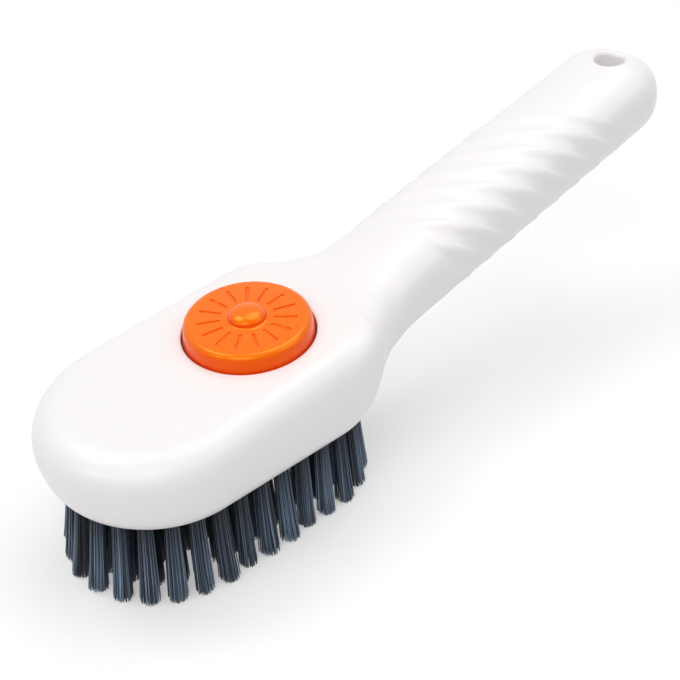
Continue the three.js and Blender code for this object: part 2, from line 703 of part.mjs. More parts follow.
// Button cap with its skirts, boss, centre nub and radial strokes
function buttonCap() {
  const faceRadius = BUTTON_RADIUS - BUTTON_DRAFT;
  const dome = NUB_DOME.map(([out, up]) => [out * NUB_RADIUS, BUTTON_PROUD + up * NUB_HEIGHT]);
  const foot = NUB_FOOT.map(([out, up]) => [NUB_RADIUS + out * NUB_FLARE, BUTTON_PROUD + up * NUB_HEIGHT]);
  const cap = turned([
    ...dome,
    ...foot,
    [faceRadius - BUTTON_EDGE, BUTTON_PROUD],
    [faceRadius - BUTTON_EDGE * EDGE_SHARE, BUTTON_PROUD - BUTTON_EDGE * EDGE_SHARE],
    [faceRadius, BUTTON_PROUD - BUTTON_EDGE],
    [BUTTON_RADIUS, 0],
    [BUTTON_RADIUS, -SKIRT_DEPTH],
    [BUTTON_RADIUS - SKIRT_WALL, -SKIRT_DEPTH],
    [BUTTON_RADIUS - SKIRT_WALL, CAP_UNDERSIDE],
    [GUIDE_RADIUS, CAP_UNDERSIDE],
    [GUIDE_RADIUS, FOOT_TOP],
    [FOOT_RADIUS, FOOT_TOP],
    [FOOT_RADIUS, FOOT_BOTTOM],
    [GUIDE_RADIUS - GUIDE_WALL, FOOT_BOTTOM],
    [GUIDE_RADIUS - GUIDE_WALL, CAP_UNDERSIDE],
    [BOSS_RADIUS, CAP_UNDERSIDE],
    [BOSS_RADIUS, -BOSS_DEPTH],
    [STEM_BORE, -BOSS_DEPTH],
    [STEM_BORE, STEM_TOP + CLEARANCE],
    [0, STEM_TOP + CLEARANCE],
  ]);
  const strokes = Array.from({ length: STROKES }, (_, i) => {
    const stroke = new THREE.BoxGeometry(STROKE_END - STROKE_START, STROKE_WIDTH, 2 * STROKE_DEPTH);
    stroke.translate((STROKE_START + STROKE_END) / 2, 0, BUTTON_PROUD);
    return solid(stroke.rotateZ((i / STROKES) * 2 * Math.PI));
  });
  return geometryOf(solid(cap).subtract(wasm.Manifold.union(strokes)));
}

function plungerStem() {
  return turned(
    [
      ...STEM_POINT.map(([out, up]) => [out * STEM_RADIUS, STEM_NOSE + up * STEM_RADIUS]),
      [STEM_RADIUS, STEM_TOP],
      [0, STEM_TOP],
    ],
    SMALL_SIDES,
  );
}

// A coil spring as one unbroken tube between two heights, with the least gap between its turns
function coil(name, { radius, wire, turns }, bottom, top) {
  const steps = Math.round(turns * COIL_STEPS);
  const rise = top - bottom - wire;
  const columns = [];
  const centres = [];
  for (let i = 0; i <= steps; i++) {
    const turn = (i / COIL_STEPS) * 2 * Math.PI;
    const out = new THREE.Vector3(Math.cos(turn), Math.sin(turn), 0);
    const centre = out.clone().multiplyScalar(radius);
    centre.z = bottom + wire / 2 + (i / steps) * rise;
    centres.push(centre);
    columns.push(
      Array.from({ length: COIL_SIDES + 1 }, (_, j) => {
        const round = ((j % COIL_SIDES) / COIL_SIDES) * 2 * Math.PI;
        const point = out.clone().multiplyScalar((wire / 2) * Math.cos(round)).add(centre);
        point.z += (wire / 2) * Math.sin(round);
        return point;
      }),
    );
  }
  const cap = (column, centre) => column.map(() => centre.clone());
  columns.unshift(cap(columns[0], centres[0]));
  columns.push(cap(columns.at(-1), centres.at(-1)));
  let least = Infinity;
  centres.forEach((a, i) =>
    centres.slice(i + COIL_STEPS / 2).forEach((b) => {
      least = Math.min(least, a.distanceTo(b) - wire);
    }),
  );
  console.log(`${name}: least gap between turns ${least.toFixed(2)} mm`);
  return skinned(columns);
}

// Valve pieces, round their own upright axis
function valveSeat() {
  return turned(
    [
      [VALVE_THROAT, SPOUT_BOTTOM],
      [SPOUT_RADIUS, SPOUT_BOTTOM],
      [SPOUT_RADIUS, BACKING_BOTTOM],
      [VALVE_FLANGE, BACKING_BOTTOM],
      [VALVE_FLANGE, BACKING_TOP],
      [VALVE_BODY, BACKING_TOP],
      [VALVE_BODY, VALVE_TOP],
      [VALVE_CHAMBER, VALVE_TOP],
      [VALVE_CHAMBER, CHAMBER_FLOOR],
      [VALVE_THROAT, CHAMBER_FLOOR],
      [VALVE_THROAT, SPOUT_BOTTOM],
    ],
    SMALL_SIDES,
  );
}

function valvePoppet() {
  const headTop = SPOUT_BOTTOM - POPPET_SEAL_THICK - 2 * CLEARANCE;
  const underTop = POPPET_PEAK - POPPET_TOP_THICK;
  return turned(
    [
      [0, headTop - POPPET_HEAD_THICK],
      [POPPET_HEAD, headTop - POPPET_HEAD_THICK],
      [POPPET_HEAD, headTop],
      [POPPET_STEM, headTop],
      [POPPET_STEM, underTop],
      [POPPET_TOP, underTop],
      [POPPET_TOP, POPPET_PEAK],
      [0, POPPET_PEAK],
    ],
    SMALL_SIDES,
  );
}

function poppetSeal() {
  const top = SPOUT_BOTTOM - CLEARANCE;
  return ring(POPPET_STEM + CLEARANCE, POPPET_HEAD, top - POPPET_SEAL_THICK, top, SMALL_SIDES);
}

// The assembly: everything in the head's frame, the cartridge and button in the tilted frame
const brush = new THREE.Group();
brush.name = "shoe_cleaning_brush";
const head = new THREE.Group();
head.position.x = FRONT_X;
brush.add(head);

const mechanism = new THREE.Group();
mechanism.position.set(BUTTON_FROM_FRONT, 0, BUTTON_HEIGHT);
mechanism.rotation.y = -FACET_TILT;
mechanism.updateMatrix();
head.add(mechanism);

const valve = new THREE.Group();
valve.position.x = VALVE_STATION;
head.add(valve);

function place(parent, name, geometry, finish) {
  const mesh = new THREE.Mesh(geometry, new THREE.MeshStandardMaterial(finish));
  mesh.name = name;
  parent.add(mesh);
}

const inFront = ({ along }) => along < HEAD_STRAIGHT / 2;
const atBack = ({ along }) => along > HEAD_STRAIGHT / 2;
const clearOfValve = ({ along, across }) => Math.hypot(along - VALVE_STATION, across) > VALVE_CLEAR;

place(head, "body_shell", bodyShell(), WHITE);
place(head, "bristle_plate", bristlePlate(), NATURAL);
place(head, "plate_gasket", plateGasket(), RUBBER);
place(head, "outer_front_tufts", tufts(0, halfRing(-1), inFront), SLATE);
place(head, "outer_back_tufts", tufts(0, halfRing(1), atBack), SLATE);
place(head, "middle_tufts", tufts(1, middleBacking(), clearOfValve), SLATE);
place(head, "inner_tufts", tufts(2, innerBacking(), clearOfValve), SLATE);

place(mechanism, "filler_collar", fillerCollar(), NATURAL);
place(mechanism, "guide_sleeve", guideSleeve(), NATURAL);
place(mechanism, "snap_ring", ring(SNAP_INNER, SNAP_OUTER, SNAP_BOTTOM, SNAP_TOP), NATURAL);
place(
  mechanism,
  "cartridge_seal",
  ring(TUBE_RADIUS + CLEARANCE, TUBE_RADIUS + CLEARANCE + SEAL_WIDTH, SEAL_TOP - SEAL_THICK, SEAL_TOP),
  RUBBER,
);
place(mechanism, "stem_seal", stemSeal(), RUBBER);
place(mechanism, "seal_retainer", sealRetainer(), STEEL);
place(mechanism, "button_cap", buttonCap(), ORANGE);
place(mechanism, "plunger_stem", plungerStem(), NATURAL);
const returnSpan = [FLOOR_TOP + SPRING_GAP, CAP_UNDERSIDE - SPRING_GAP];
place(mechanism, "return_spring", coil("return_spring", RETURN_SPRING, ...returnSpan), STEEL);

place(valve, "valve_seat", valveSeat(), NATURAL);
place(valve, "valve_poppet", valvePoppet(), NATURAL);
place(valve, "poppet_seal", poppetSeal(), RUBBER);
const poppetSpan = [CHAMBER_FLOOR + SPRING_GAP, POPPET_PEAK - POPPET_TOP_THICK - SPRING_GAP];
place(valve, "poppet_spring", coil("poppet_spring", POPPET_SPRING, ...poppetSpan), STEEL);

export default brush;
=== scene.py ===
"""A press-to-dispense shoe cleaning brush, modelled round its packed frame, with its finishes and stage."""

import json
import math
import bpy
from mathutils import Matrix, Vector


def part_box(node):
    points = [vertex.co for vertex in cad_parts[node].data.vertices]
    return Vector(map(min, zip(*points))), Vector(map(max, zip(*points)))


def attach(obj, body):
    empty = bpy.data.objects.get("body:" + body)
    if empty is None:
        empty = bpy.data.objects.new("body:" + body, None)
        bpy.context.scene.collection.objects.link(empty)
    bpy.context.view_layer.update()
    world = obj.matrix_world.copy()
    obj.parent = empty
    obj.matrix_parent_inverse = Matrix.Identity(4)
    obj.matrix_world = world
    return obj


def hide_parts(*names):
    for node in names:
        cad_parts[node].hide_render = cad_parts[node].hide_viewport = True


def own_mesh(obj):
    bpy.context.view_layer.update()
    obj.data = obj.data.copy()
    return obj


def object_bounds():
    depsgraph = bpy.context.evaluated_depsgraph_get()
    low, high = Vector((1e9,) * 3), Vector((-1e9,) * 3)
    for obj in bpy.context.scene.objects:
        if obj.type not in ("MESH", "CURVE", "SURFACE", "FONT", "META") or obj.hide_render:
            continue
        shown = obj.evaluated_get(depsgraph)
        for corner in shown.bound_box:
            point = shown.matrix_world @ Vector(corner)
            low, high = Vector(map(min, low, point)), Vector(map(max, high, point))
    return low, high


bl_info = {
    "name": "Shoe cleaning brush",
    "version": (1, 0, 0),
    "blender": (4, 5, 0),
    "location": "View3D > Sidebar > Brush",
    "description": "Models a white shoe cleaning brush with slate bristles and a soap button",
    "category": "Add Mesh",
}

import bpy
import numpy as np
from bpy.props import FloatProperty, FloatVectorProperty, IntProperty, PointerProperty
from mathutils import Matrix, Vector
from mathutils.bvhtree import BVHTree

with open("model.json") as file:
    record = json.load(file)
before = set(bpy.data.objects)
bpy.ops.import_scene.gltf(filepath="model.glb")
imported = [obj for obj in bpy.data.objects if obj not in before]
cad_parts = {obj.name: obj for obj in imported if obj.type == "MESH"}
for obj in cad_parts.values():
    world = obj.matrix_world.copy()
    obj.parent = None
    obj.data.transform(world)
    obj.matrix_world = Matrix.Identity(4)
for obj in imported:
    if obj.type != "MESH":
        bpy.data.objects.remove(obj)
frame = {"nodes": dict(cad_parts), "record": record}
CAD_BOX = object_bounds()
MM = 0.001
UP = Vector((0, 0, 1))

# The head's frame, in millimetres: stations run from the centre of its front round end to the handle
FRONT_X = -83.5
HEAD_STRAIGHT = 39.7
RIM_HEIGHT = 25.9
RIM_HALF_WIDTH = 25.6
RIM_END = HEAD_STRAIGHT + RIM_HALF_WIDTH
WIDEST_HEIGHT = 36.0
WIDEST_BACK = 40.5
FACET_HEIGHT = 47.4
FACET_HALF_WIDTH = 21.4
FACET_FRONT = 3.7
FACET_BACK = 35.55
FACET_TILT = math.radians(4.8)
SHOULDER_POWER = 2.4
FLANK_POWER = 1.5

# Handle and neck: the blends run between stations counted from the back end of the rim
HANDLE_RISE = math.radians(13.2)
AXIS_START = 47.3
NECK_FILLET = 46.0
NECK_POWER = 5.0
HANDLE_TOP_POWER = 2.7
HANDLE_BELOW_POWER = 2.2
SPINE_BLEND = (-27, -7)
TOP_BLEND = (-15, 20)
BELOW_BLEND = (-7, 7)
FULLER_BLEND = (-25, -8)
SOFTER_BLEND = (-12, 8)
LEAN_BLEND = (-1, 35)
END_CAP = 15.8
END_STATION = CAD_BOX[1][0] / MM - FRONT_X
HANG_STATION = END_STATION - 15

# Twisted grip: lobes that run round the handle, each rising slowly and falling sharply to the next
GRIP_FIRST = 20.59
GRIP_PITCH = 9.86
GRIP_TWIST = 0.94
GRIP_HELD = 26.0
GRIP_RISE = (0.0, 0.46)
GRIP_FALL = (0.58, 0.74)
GRIP_ROUND = (0.0, 5.0, 10.0, 15.0, 20.0, 26.0, 33.0, 42.0)
GRIP_SHARES = (0.5, 0.55, 0.9, 1.25, 1.05, 0.55, 0.25, 0.0)

# Stretch over which the grip's lobes come or go, and its slant round the handle
GRIP_STARTS = (41.0, 47.0, 0.15)
GRIP_ENDS = (103.0, 108.5, 0.75)

# Inside of the moulding
RECESS_RADIUS = 23.6
LEDGE_HEIGHT = 33.4
MOUTH_RADIUS = 21.6
CHAMBER_RADIUS = 23.2
CHAMBER_HEIGHT = 35.9
TOP_WALL = 2.6
HANDLE_WALL = 2.0
NECK_FLOOR = 3.0
BELOW_RIM = 2.0
VOID_NECK = (-15.3, 24.7)
VOID_DEEPENS = (-1.3, 10.7)
LIP_SINK = 0.03
LIP_CLEAR = 3

# Button and cartridge, measured from the facet along the button's axis
BUTTON_STATION = 32.5
BUTTON_HEIGHT = FACET_HEIGHT + math.tan(FACET_TILT) * BUTTON_STATION
BUTTON_CENTRE = Vector((FRONT_X + BUTTON_STATION, 0, BUTTON_HEIGHT)) * MM
BUTTON_FRAME = Matrix.Translation(BUTTON_CENTRE) @ Matrix.Rotation(-FACET_TILT, 4, "Y")
BUTTON_AXIS = BUTTON_FRAME.to_3x3() @ UP
WELL_RADIUS = 17.6
WELL_DEPTH = 5.4
WELL_LIP = 0.45
NUB_FOOT = 0.14
NUB_POWER = 2.2
STROKE_REACH = (7.1, 13.0)
STROKE_WIDTHS = (0.9, 0.95)
STROKE_EDGE = 0.22
SIDE_FOOT = -1.0
SIDE_WALL = 2.0
CAP_ROOF = 2.4
SLEEVE_FLOOR_TOP = -12.28
STEM_NOSE = -16.18

# Button's skirt with its foot ring, and its boss, seen from inside as (radius, height)
CAP_INSIDE = [
    (11.7, CAP_ROOF), (11.7, -7.85), (12.6, -7.85), (12.6, -8.95), (10.1, -8.95), (10.1, CAP_ROOF),
    (4, CAP_ROOF), (4, -3), (2.2, -3), (2.2, 1.8), (0, 1.8),
]

# Painted shade, a deeper orange: depths under the face where it sets in, and its share in the strokes and on
# the nub's flank
PAINTED_SHADE_DEPTHS = (0.15, 1.6)
STROKE_PAINTED_SHADE = 0.5
NUB_PAINTED_SHADE = 0.9
NUB_STEEP = (0.03, 0.5)

# Valve in the middle of the bristles
VALVE_X = FRONT_X + 34.1
VALVE_CLEAR = 11.0
VALVE_FRAME = Matrix.Translation((VALVE_X * MM, 0, 0))

# Springs: radius of the coil, thickness of the wire and number of turns
RETURN_COIL = (7, 1, 6)
RETURN_HEIGHTS = (SLEEVE_FLOOR_TOP + 0.4, 2.0)
POPPET_COIL = (2.7, 0.45, 3.5)
CLOSED_TURNS = 0.6
CLIMB_SHARE = 0.8


def ring_section(inner, outer, low, high):
    """Half section of a plain ring or, from the axis, of a disc"""
    return [(inner, low), (outer, low), (outer, high), (inner, high)]


# Small round pieces: body, finish, rounding of the edges and half section of (radius, height)
TURNED_PIECES = {
    "snap_ring": ("cartridge", "natural_plastic", 0.2, ring_section(12, 14, -7.55, -6.35)),
    "cartridge_seal": ("cartridge", "seal_rubber", 0.25, ring_section(14.8, 16.1, -10.6, -9.7)),
    "stem_seal": ("cartridge", "seal_rubber", 0.3, ring_section(2.2, 3.6, -14.28, -13.18)),
    "seal_retainer": ("cartridge", "spring_steel", 0.12, ring_section(2.35, 3.6, -12.88, SLEEVE_FLOOR_TOP)),
    "plunger_stem": (
        "button", "natural_plastic", 0.25, [(0, STEM_NOSE), (1.1, -15.8), (1.9, -14.7), (1.9, 1.5), (0, 1.5)],
    ),
    "valve_seat": (
        "body", "natural_plastic", 0.25,
        [
            (2.3, 25.4), (5.2, 25.4), (5.2, 26.9), (8, 26.9), (8, 28.4), (6, 28.4), (6, 32.8), (3.6, 32.8),
            (3.6, 27.4), (2.3, 27.4),
        ],
    ),
    "valve_poppet": (
        "valve", "natural_plastic", 0.25,
        [(0, 23.1), (4.3, 23.1), (4.3, 24.2), (1.4, 24.2), (1.4, 32.9), (2.9, 32.9), (2.9, 33.7), (0, 33.7)],
    ),
    "poppet_seal": ("valve", "seal_rubber", 0.2, ring_section(1.7, 4.3, 24.5, 25.1)),
}
INNER_MOULDINGS = ("bristle_plate", "plate_gasket", "filler_collar", "guide_sleeve")

# Tuft backing
BACKING = (26.9, 28.4)
BACKING_EDGE = 0.25
PLATE_RADIUS = 23.3
SEAT_BORE = 8.3
SEAT_GAP = 0.15
ROOT_SINK = 0.5

# Rows from the outside in. Painted shade: tone at the root and at the tip, and where between them it changes;
# the inner rows are painted darker
ROW_INSET = 2.4
ROW_PITCH = 7.0
TUFTS_IN_ROW = (32, 30, 18)
ROW_LEAN = (2.5, 1.2, 0)
TIP_LEAN = (2.8, 3.0, 1.2)
ROW_PAINTED_SHADE = ((0.14, 1.4, 0.0, 1.0), (0.05, 0.7, 0.2, 1.0), (0.03, 0.6, 0.2, 1.0))

# How the strands differ: spreads in millimetres, and ranges, tones and powers as plain numbers
LOCKS = 5
LOCK_DRIFT = 0.12
LOCK_TONE = 0.1
PLACE_SPREAD = 0.03
LEAN_RANGE = (0.85, 1.15)
LEAN_SPREAD = 0.14
SPLAY_RANGE = (0.95, 1.06)
TIP_SPREAD = 0.07
SHORT_DRAW = (1.2, 3.4)
CURL_SPREAD = 0.09
TONE_DRAW = (0.34, 0.25)
TONE_RANGE = (0.03, 1)
CROWN_POWER = 5
BEND_POWER = 1.2
STRAND_TAPER = 0.22

# Stage, in metres but for the camera's sensor: place and size of each round lamp, all turned to one point
LAMPS = {
    "key": ((-0.98, 0.2, 0.7), 0.25),
    "front": ((-0.8, -0.4, 1.0), 0.9),
    "over": ((0.43, 0.13, 1.25), 0.95),
    "near": ((0.55, -0.85, 0.95), 1.0),
    "back": ((-0.28, 0.58, 1.15), 0.6),
}
LAMP_TARGET = (-0.02, 0, 0.03)
WORLD_WHITE = (1, 0.985, 0.98, 1)
FLOOR_SIZE = 8
FLOOR_WHITE = 1.03
FLOOR_FADE = (0.35, 1.0)
SENSOR_WIDTH = 36
NEAREST_SEEN = 0.01

# Finishes: where most of a noise lies, and the darkest and lightest strand
NOISE_SPREAD = (0.3, 0.7)
STRAND_TONES = (0.04, 2)

# Fineness of the meshes
TINY = 1e-9
MERGE_DISTANCE = 2e-6
SHARP_ANGLE = math.radians(35)
PROFILE_STEPS = 160
BELOW_STEPS = 22
ABOVE_STEPS = 40
FACET_STEPS = 3
NOSE_STEPS = 71
HEAD_STEPS = 22
QUARTER_STEPS = 26
NECK_STEP = 0.7
GRIP_RUN = (84, 172)
GRIP_STEP = 0.42
TAIL_STEPS = 12
CAP_STEPS = 30
LEAST_STEP = 0.12
VOID_STEPS = (22, 18, 14)
VOID_SIDES = 48
TURN_STEPS = 96
PILLAR_STEPS = 48
BORE_STEPS = 64
LIP_STEPS = 9
WELL_LIP_STEPS = 7
DOME_STEPS = 19
EDGE_STEPS = 9
STRAND_SIDES = 4
STRAND_STEPS = 4
COIL_STEPS = 28
WIRE_SIDES = 12


def length_property(name, description, millimetres):
    """A length that the user can change, given in millimetres"""
    return FloatProperty(
        name=name, description=description, default=millimetres * MM, unit="LENGTH", precision=5
    )


def colour_property(name, description, red, green, blue):
    """A colour that the user can change"""
    return FloatVectorProperty(
        name=name, description=description, default=(red, green, blue), subtype="COLOR", min=0, max=1
    )


def power_property(name, description, watts):
    """The power of a lamp that the user can change"""
    return FloatProperty(name=name, description=description, default=watts, unit="POWER")


class BrushBodySizes(bpy.types.PropertyGroup):
    """Sizes of the white moulding"""

    head_half_width: length_property("Head half width", "Half of the head's width at its widest line", 29.8)
    handle_half_width: length_property("Handle half width", "Half of the handle's width", 16.2)
    handle_half_height: length_property("Handle half height", "Half of the handle's height", 12.6)
    grip_depth: length_property("Grip depth", "Height of the grip's lobes over their creases", 0.75)
    hang_radius: length_property("Hang hole radius", "Radius of the hang hole's bore", 4.5)
    hang_lip: length_property("Hang hole lip", "Rounding of the hang hole's edge", 1.6)


class BrushButtonSizes(bpy.types.PropertyGroup):
    """Sizes of the press button"""

    radius: length_property("Button radius", "Radius of the button at the facet", 17.2)
    draft: length_property("Draft", "How much the button narrows to its face", 0.45)
    proud: length_property("Proud", "Height of the button's face over the facet", 4.4)
    edge: length_property("Edge rounding", "Rounding of the face's edge", 1.8)
    nub_radius: length_property("Nub radius", "Radius of the centre nub", 5.0)
    nub_flare: length_property("Nub flare", "Width of the hollow foot round the nub", 1.4)
    nub_height: length_property("Nub height", "Height of the nub over the face", 2.5)
    strokes: IntProperty(
        name="Strokes", description="Number of radial strokes in the face", default=15, min=3
    )
    stroke_depth: length_property("Stroke depth", "Depth of the radial strokes", 0.42)


class BrushBristleSizes(bpy.types.PropertyGroup):
    """Sizes of the tufts"""

    strands: IntProperty(name="Strands", description="Number of strands in a tuft", default=100, min=8)
    strand_radius: length_property("Strand radius", "Radius of a strand", 0.18)
    root_radius: length_property("Root radius", "Radius of a tuft at its root", 1.75)
    tip_radius: length_property("Tip radius", "Radius of a tuft at its tips", 2.6)
    uneven: length_property("Unevenness", "How much the strands differ in length", 0.4)
    crown: length_property("Crown", "How much shorter a tuft's edge is than its middle", 0.8)
    seed: IntProperty(name="Seed", description="Start of the random draws", default=11, min=0)


class BrushColours(bpy.types.PropertyGroup):
    """Colours of the finishes"""

    shell: colour_property("Shell", "White of the moulding", 0.905, 0.887, 0.885)
    button: colour_property("Button", "Orange of the button's face", 0.94, 0.142, 0.001)
    # Painted shade: a deeper orange for the shade down the button's side, in its strokes and on the nub's
    # flank
    button_painted_shade: colour_property("Button side", "Deeper orange of the button's side", 0.97, 0.056, 0.001)
    strand: colour_property("Strand", "Slate of the strands", 0.155, 0.21, 0.29)
    natural: colour_property("Natural plastic", "Colour of the unpainted inner mouldings", 0.74, 0.73, 0.7)
    rubber: colour_property("Rubber", "Colour of the seals", 0.025, 0.025, 0.027)
    steel: colour_property("Steel", "Colour of the springs", 0.62, 0.63, 0.65)
    floor: colour_property("Floor", "Colour of the floor", 0.84, 0.84, 0.84)


class BrushStage(bpy.types.PropertyGroup):
    """Camera and light"""

    eye: FloatVectorProperty(
        name="Eye", description="Place of the camera", default=(-0.2427, -0.2277, 0.2543),
        subtype="TRANSLATION",
    )
    target: FloatVectorProperty(
        name="Target", description="Point that the camera looks at", default=(-0.01803, 0, 0.03105),
        subtype="TRANSLATION",
    )
    lens: FloatProperty(name="Lens", description="Focal length in millimetres", default=74.12, unit="CAMERA")
    ambient: FloatProperty(name="Ambient", description="Strength of the light from all round", default=0.34)
    key: power_property("Key light", "Power of the small light at the nose", 1.0)
    front: power_property("Front light", "Power of the light before the head", 4.3)
    over: power_property("Over light", "Power of the light over the brush", 5.0)
    near: power_property("Near light", "Power of the light at the near side", 2.7)
    back: power_property("Back light", "Power of the light at the far side", 3.3)
    shadow: FloatProperty(
        name="Floor shadow", description="Share of the floor's white that a shadow takes away", default=0.64
    )


# Tools that the pieces share


def smoothstep(value, low, high):
    share = np.clip((value - low) / (high - low), 0, 1)
    return share * share * (3 - 2 * share)


def lerp(low, high, share):
    return low + (high - low) * share


def quarter_turn(steps):
    """Angles of a quarter turn"""
    return np.linspace(0, math.pi / 2, steps)


def clear_selection():
    bpy.ops.object.select_all(action="DESELECT")


def select_only(piece):
    clear_selection()
    piece.select_set(True)
    bpy.context.view_layer.objects.active = piece


def close_up(piece):
    """Merges doubled points, removes what is left loose and turns the faces outwards"""
    select_only(piece)
    bpy.ops.object.mode_set(mode="EDIT")
    bpy.ops.mesh.select_all(action="SELECT")
    bpy.ops.mesh.remove_doubles(threshold=MERGE_DISTANCE)
    bpy.ops.mesh.delete_loose()
    bpy.ops.mesh.select_all(action="SELECT")
    bpy.ops.mesh.normals_make_consistent(inside=False)
    bpy.ops.object.mode_set(mode="OBJECT")


def lofted(name, rings):
    """A skin over rings of points in metres, modelled from a grid that is wrapped and closed"""
    rings = np.asarray(rings, float)
    clear_selection()
    bpy.ops.mesh.primitive_grid_add(x_subdivisions=rings.shape[1] - 1, y_subdivisions=rings.shape[0] - 1)
    piece = bpy.context.object
    piece.name = name
    piece.data.vertices.foreach_set("co", rings.reshape(-1))
    close_up(piece)
    return piece


def spun(name, profile, steps, place):
    """A piece turned from a profile of (radius, height) points in millimetres, set in a place"""
    clear_selection()
    bpy.ops.mesh.primitive_circle_add(vertices=len(profile), radius=1)
    piece = bpy.context.object
    piece.name = name
    points = [(radius * MM, 0, height * MM) for radius, height in profile]
    piece.data.vertices.foreach_set("co", np.array(points).reshape(-1))
    bpy.ops.object.mode_set(mode="EDIT")
    bpy.ops.mesh.select_all(action="SELECT")
    bpy.ops.mesh.spin(steps=steps, angle=2 * math.pi, center=(0, 0, 0), axis=(0, 0, 1))
    bpy.ops.object.mode_set(mode="OBJECT")
    close_up(piece)
    set_in_place(piece, place)
    return piece


def set_in_place(piece, place):
    piece.matrix_world = place
    select_only(piece)
    bpy.ops.object.transform_apply(location=True, rotation=True, scale=True)


def stadium_prism(name, radius, bottom, top):
    """An upright block with two round ends: a cylinder whose back half is drawn out along the head"""
    clear_selection()
    bpy.ops.mesh.primitive_cylinder_add(
        vertices=TURN_STEPS, radius=radius * MM, depth=(top - bottom) * MM,
        location=(FRONT_X * MM, 0, (top + bottom) / 2 * MM),
    )
    piece = bpy.context.object
    piece.name = name
    bpy.ops.object.transform_apply(location=True, rotation=True, scale=True)
    draw_out(piece)
    return piece


def draw_out(piece):
    """Moves the back half of a round piece along the head, so that it gets two round ends"""
    select_points(piece, lambda co: co[:, 0] > FRONT_X * MM + MERGE_DISTANCE)
    bpy.ops.object.mode_set(mode="EDIT")
    bpy.ops.transform.translate(value=(HEAD_STRAIGHT * MM, 0, 0))
    bpy.ops.object.mode_set(mode="OBJECT")


def select_points(piece, test):
    """Selects the points of a piece that pass a test on their coordinates, for edit mode"""
    bpy.ops.object.mode_set(mode="EDIT")
    bpy.ops.mesh.select_mode(type="VERT")
    bpy.ops.mesh.select_all(action="DESELECT")
    bpy.ops.object.mode_set(mode="OBJECT")
    co = np.empty(len(piece.data.vertices) * 3)
    piece.data.vertices.foreach_get("co", co)
    piece.data.vertices.foreach_set("select", test(co.reshape(-1, 3)))


def keep_side(piece, point, normal):
    """Cuts a piece with a plane, closes the cut and drops what lies on the normal's side"""
    select_only(piece)
    bpy.ops.object.mode_set(mode="EDIT")
    bpy.ops.mesh.select_all(action="SELECT")
    bpy.ops.mesh.bisect(plane_co=point, plane_no=normal, use_fill=True, clear_outer=True)
    bpy.ops.object.mode_set(mode="OBJECT")


def modified(piece, kind, **settings):
    """Adds a modifier, sets it and applies it"""
    select_only(piece)
    modifier = piece.modifiers.new(kind.title(), kind)
    for key, value in settings.items():
        setattr(modifier, key, value)
    bpy.ops.object.modifier_apply(modifier=modifier.name)


def cut(piece, cutter):
    """Cuts one piece out of another, which has to stay closed"""
    modified(piece, "BOOLEAN", operation="DIFFERENCE", object=cutter, solver="EXACT")
    loops = np.empty(len(piece.data.loops), int)
    piece.data.loops.foreach_get("edge_index", loops)
    if np.any(np.bincount(loops, minlength=len(piece.data.edges)) != 2):
        raise RuntimeError(f"{cutter.name} left {piece.name} open")
    bpy.data.objects.remove(cutter)


def softened(piece, width, segments=2):
    """Rounds the sharp edges of a piece"""
    modified(
        piece, "BEVEL", width=width * MM, segments=segments, limit_method="ANGLE", angle_limit=SHARP_ANGLE
    )


def joined(pieces):
    """Joins pieces into the first of them"""
    clear_selection()
    for piece in pieces:
        piece.select_set(True)
    bpy.context.view_layer.objects.active = pieces[0]
    bpy.ops.object.join()
    return pieces[0]


def smooth(piece, angle=34):
    select_only(piece)
    bpy.ops.object.shade_smooth_by_angle(angle=math.radians(angle))


def dress(piece, finish):
    piece.data.materials.clear()
    piece.data.materials.append(finish)


def seat(piece, node, body, slot):
    """Dresses a piece, sets it on its body and lets it stand for its node"""
    piece.name = piece.data.name = "fine_" + node
    dress(piece, finish_of(slot))
    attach(piece, body)
    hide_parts(node)


# Finishes


class Finish:
    """A material whose nodes are added one by one"""

    def __init__(self, name):
        self.material = bpy.data.materials.new(name)
        self.material.use_nodes = True
        self.nodes = self.material.node_tree.nodes
        self.links = self.material.node_tree.links
        self.shader = self.nodes["Principled BSDF"]
        self.place = self.add("ShaderNodeTexCoord").outputs["Object"]

    def add(self, kind, **settings):
        node = self.nodes.new(kind)
        for key, value in settings.items():
            setattr(node, key, value)
        return node

    def set(self, **values):
        for key, value in values.items():
            self.shader.inputs[key.replace("_", " ").title().replace("Ior", "IOR")].default_value = value

    def noise(self, scale, detail):
        node = self.add("ShaderNodeTexNoise")
        node.inputs["Scale"].default_value = scale
        node.inputs["Detail"].default_value = detail
        self.links.new(self.place, node.inputs["Vector"])
        return node.outputs["Fac"]

    def span(self, value, low, high, spread=NOISE_SPREAD):
        """Turns the spread of a value into a range"""
        node = self.add("ShaderNodeMapRange")
        ranges = {"From Min": spread[0], "From Max": spread[1], "To Min": low, "To Max": high}
        for key, number in ranges.items():
            node.inputs[key].default_value = number
        self.links.new(value, node.inputs["Value"])
        return node.outputs["Result"]

    def mix(self, share, first, second):
        node = self.add("ShaderNodeMix", data_type="RGBA")
        for key, value in (("Factor", share), ("A", first), ("B", second)):
            socket = next(s for s in node.inputs if s.name == key and (key == "Factor" or s.type == "RGBA"))
            if hasattr(value, "is_output"):
                self.links.new(value, socket)
            else:
                socket.default_value = value
        return next(s for s in node.outputs if s.type == "RGBA")

    def bump(self, height, strength, distance):
        node = self.add("ShaderNodeBump")
        node.inputs["Strength"].default_value = strength
        node.inputs["Distance"].default_value = distance
        self.links.new(height, node.inputs["Height"])
        self.links.new(node.outputs["Normal"], self.shader.inputs["Normal"])

    def link(self, value, socket):
        self.links.new(value, self.shader.inputs[socket])

    def mottle(self, scale, detail, first, second):
        """A colour that wavers between two"""
        return self.mix(self.span(self.noise(scale, detail), 0, 1), first, second)

    def skin(self, gloss, roughness, grain, strength, depth):
        """Uneven gloss, with the scale and detail of its noise, and a fine grain with its depth"""
        self.link(self.span(self.noise(*gloss), *roughness), "Roughness")
        self.bump(self.noise(grain, 2), strength, depth * MM)


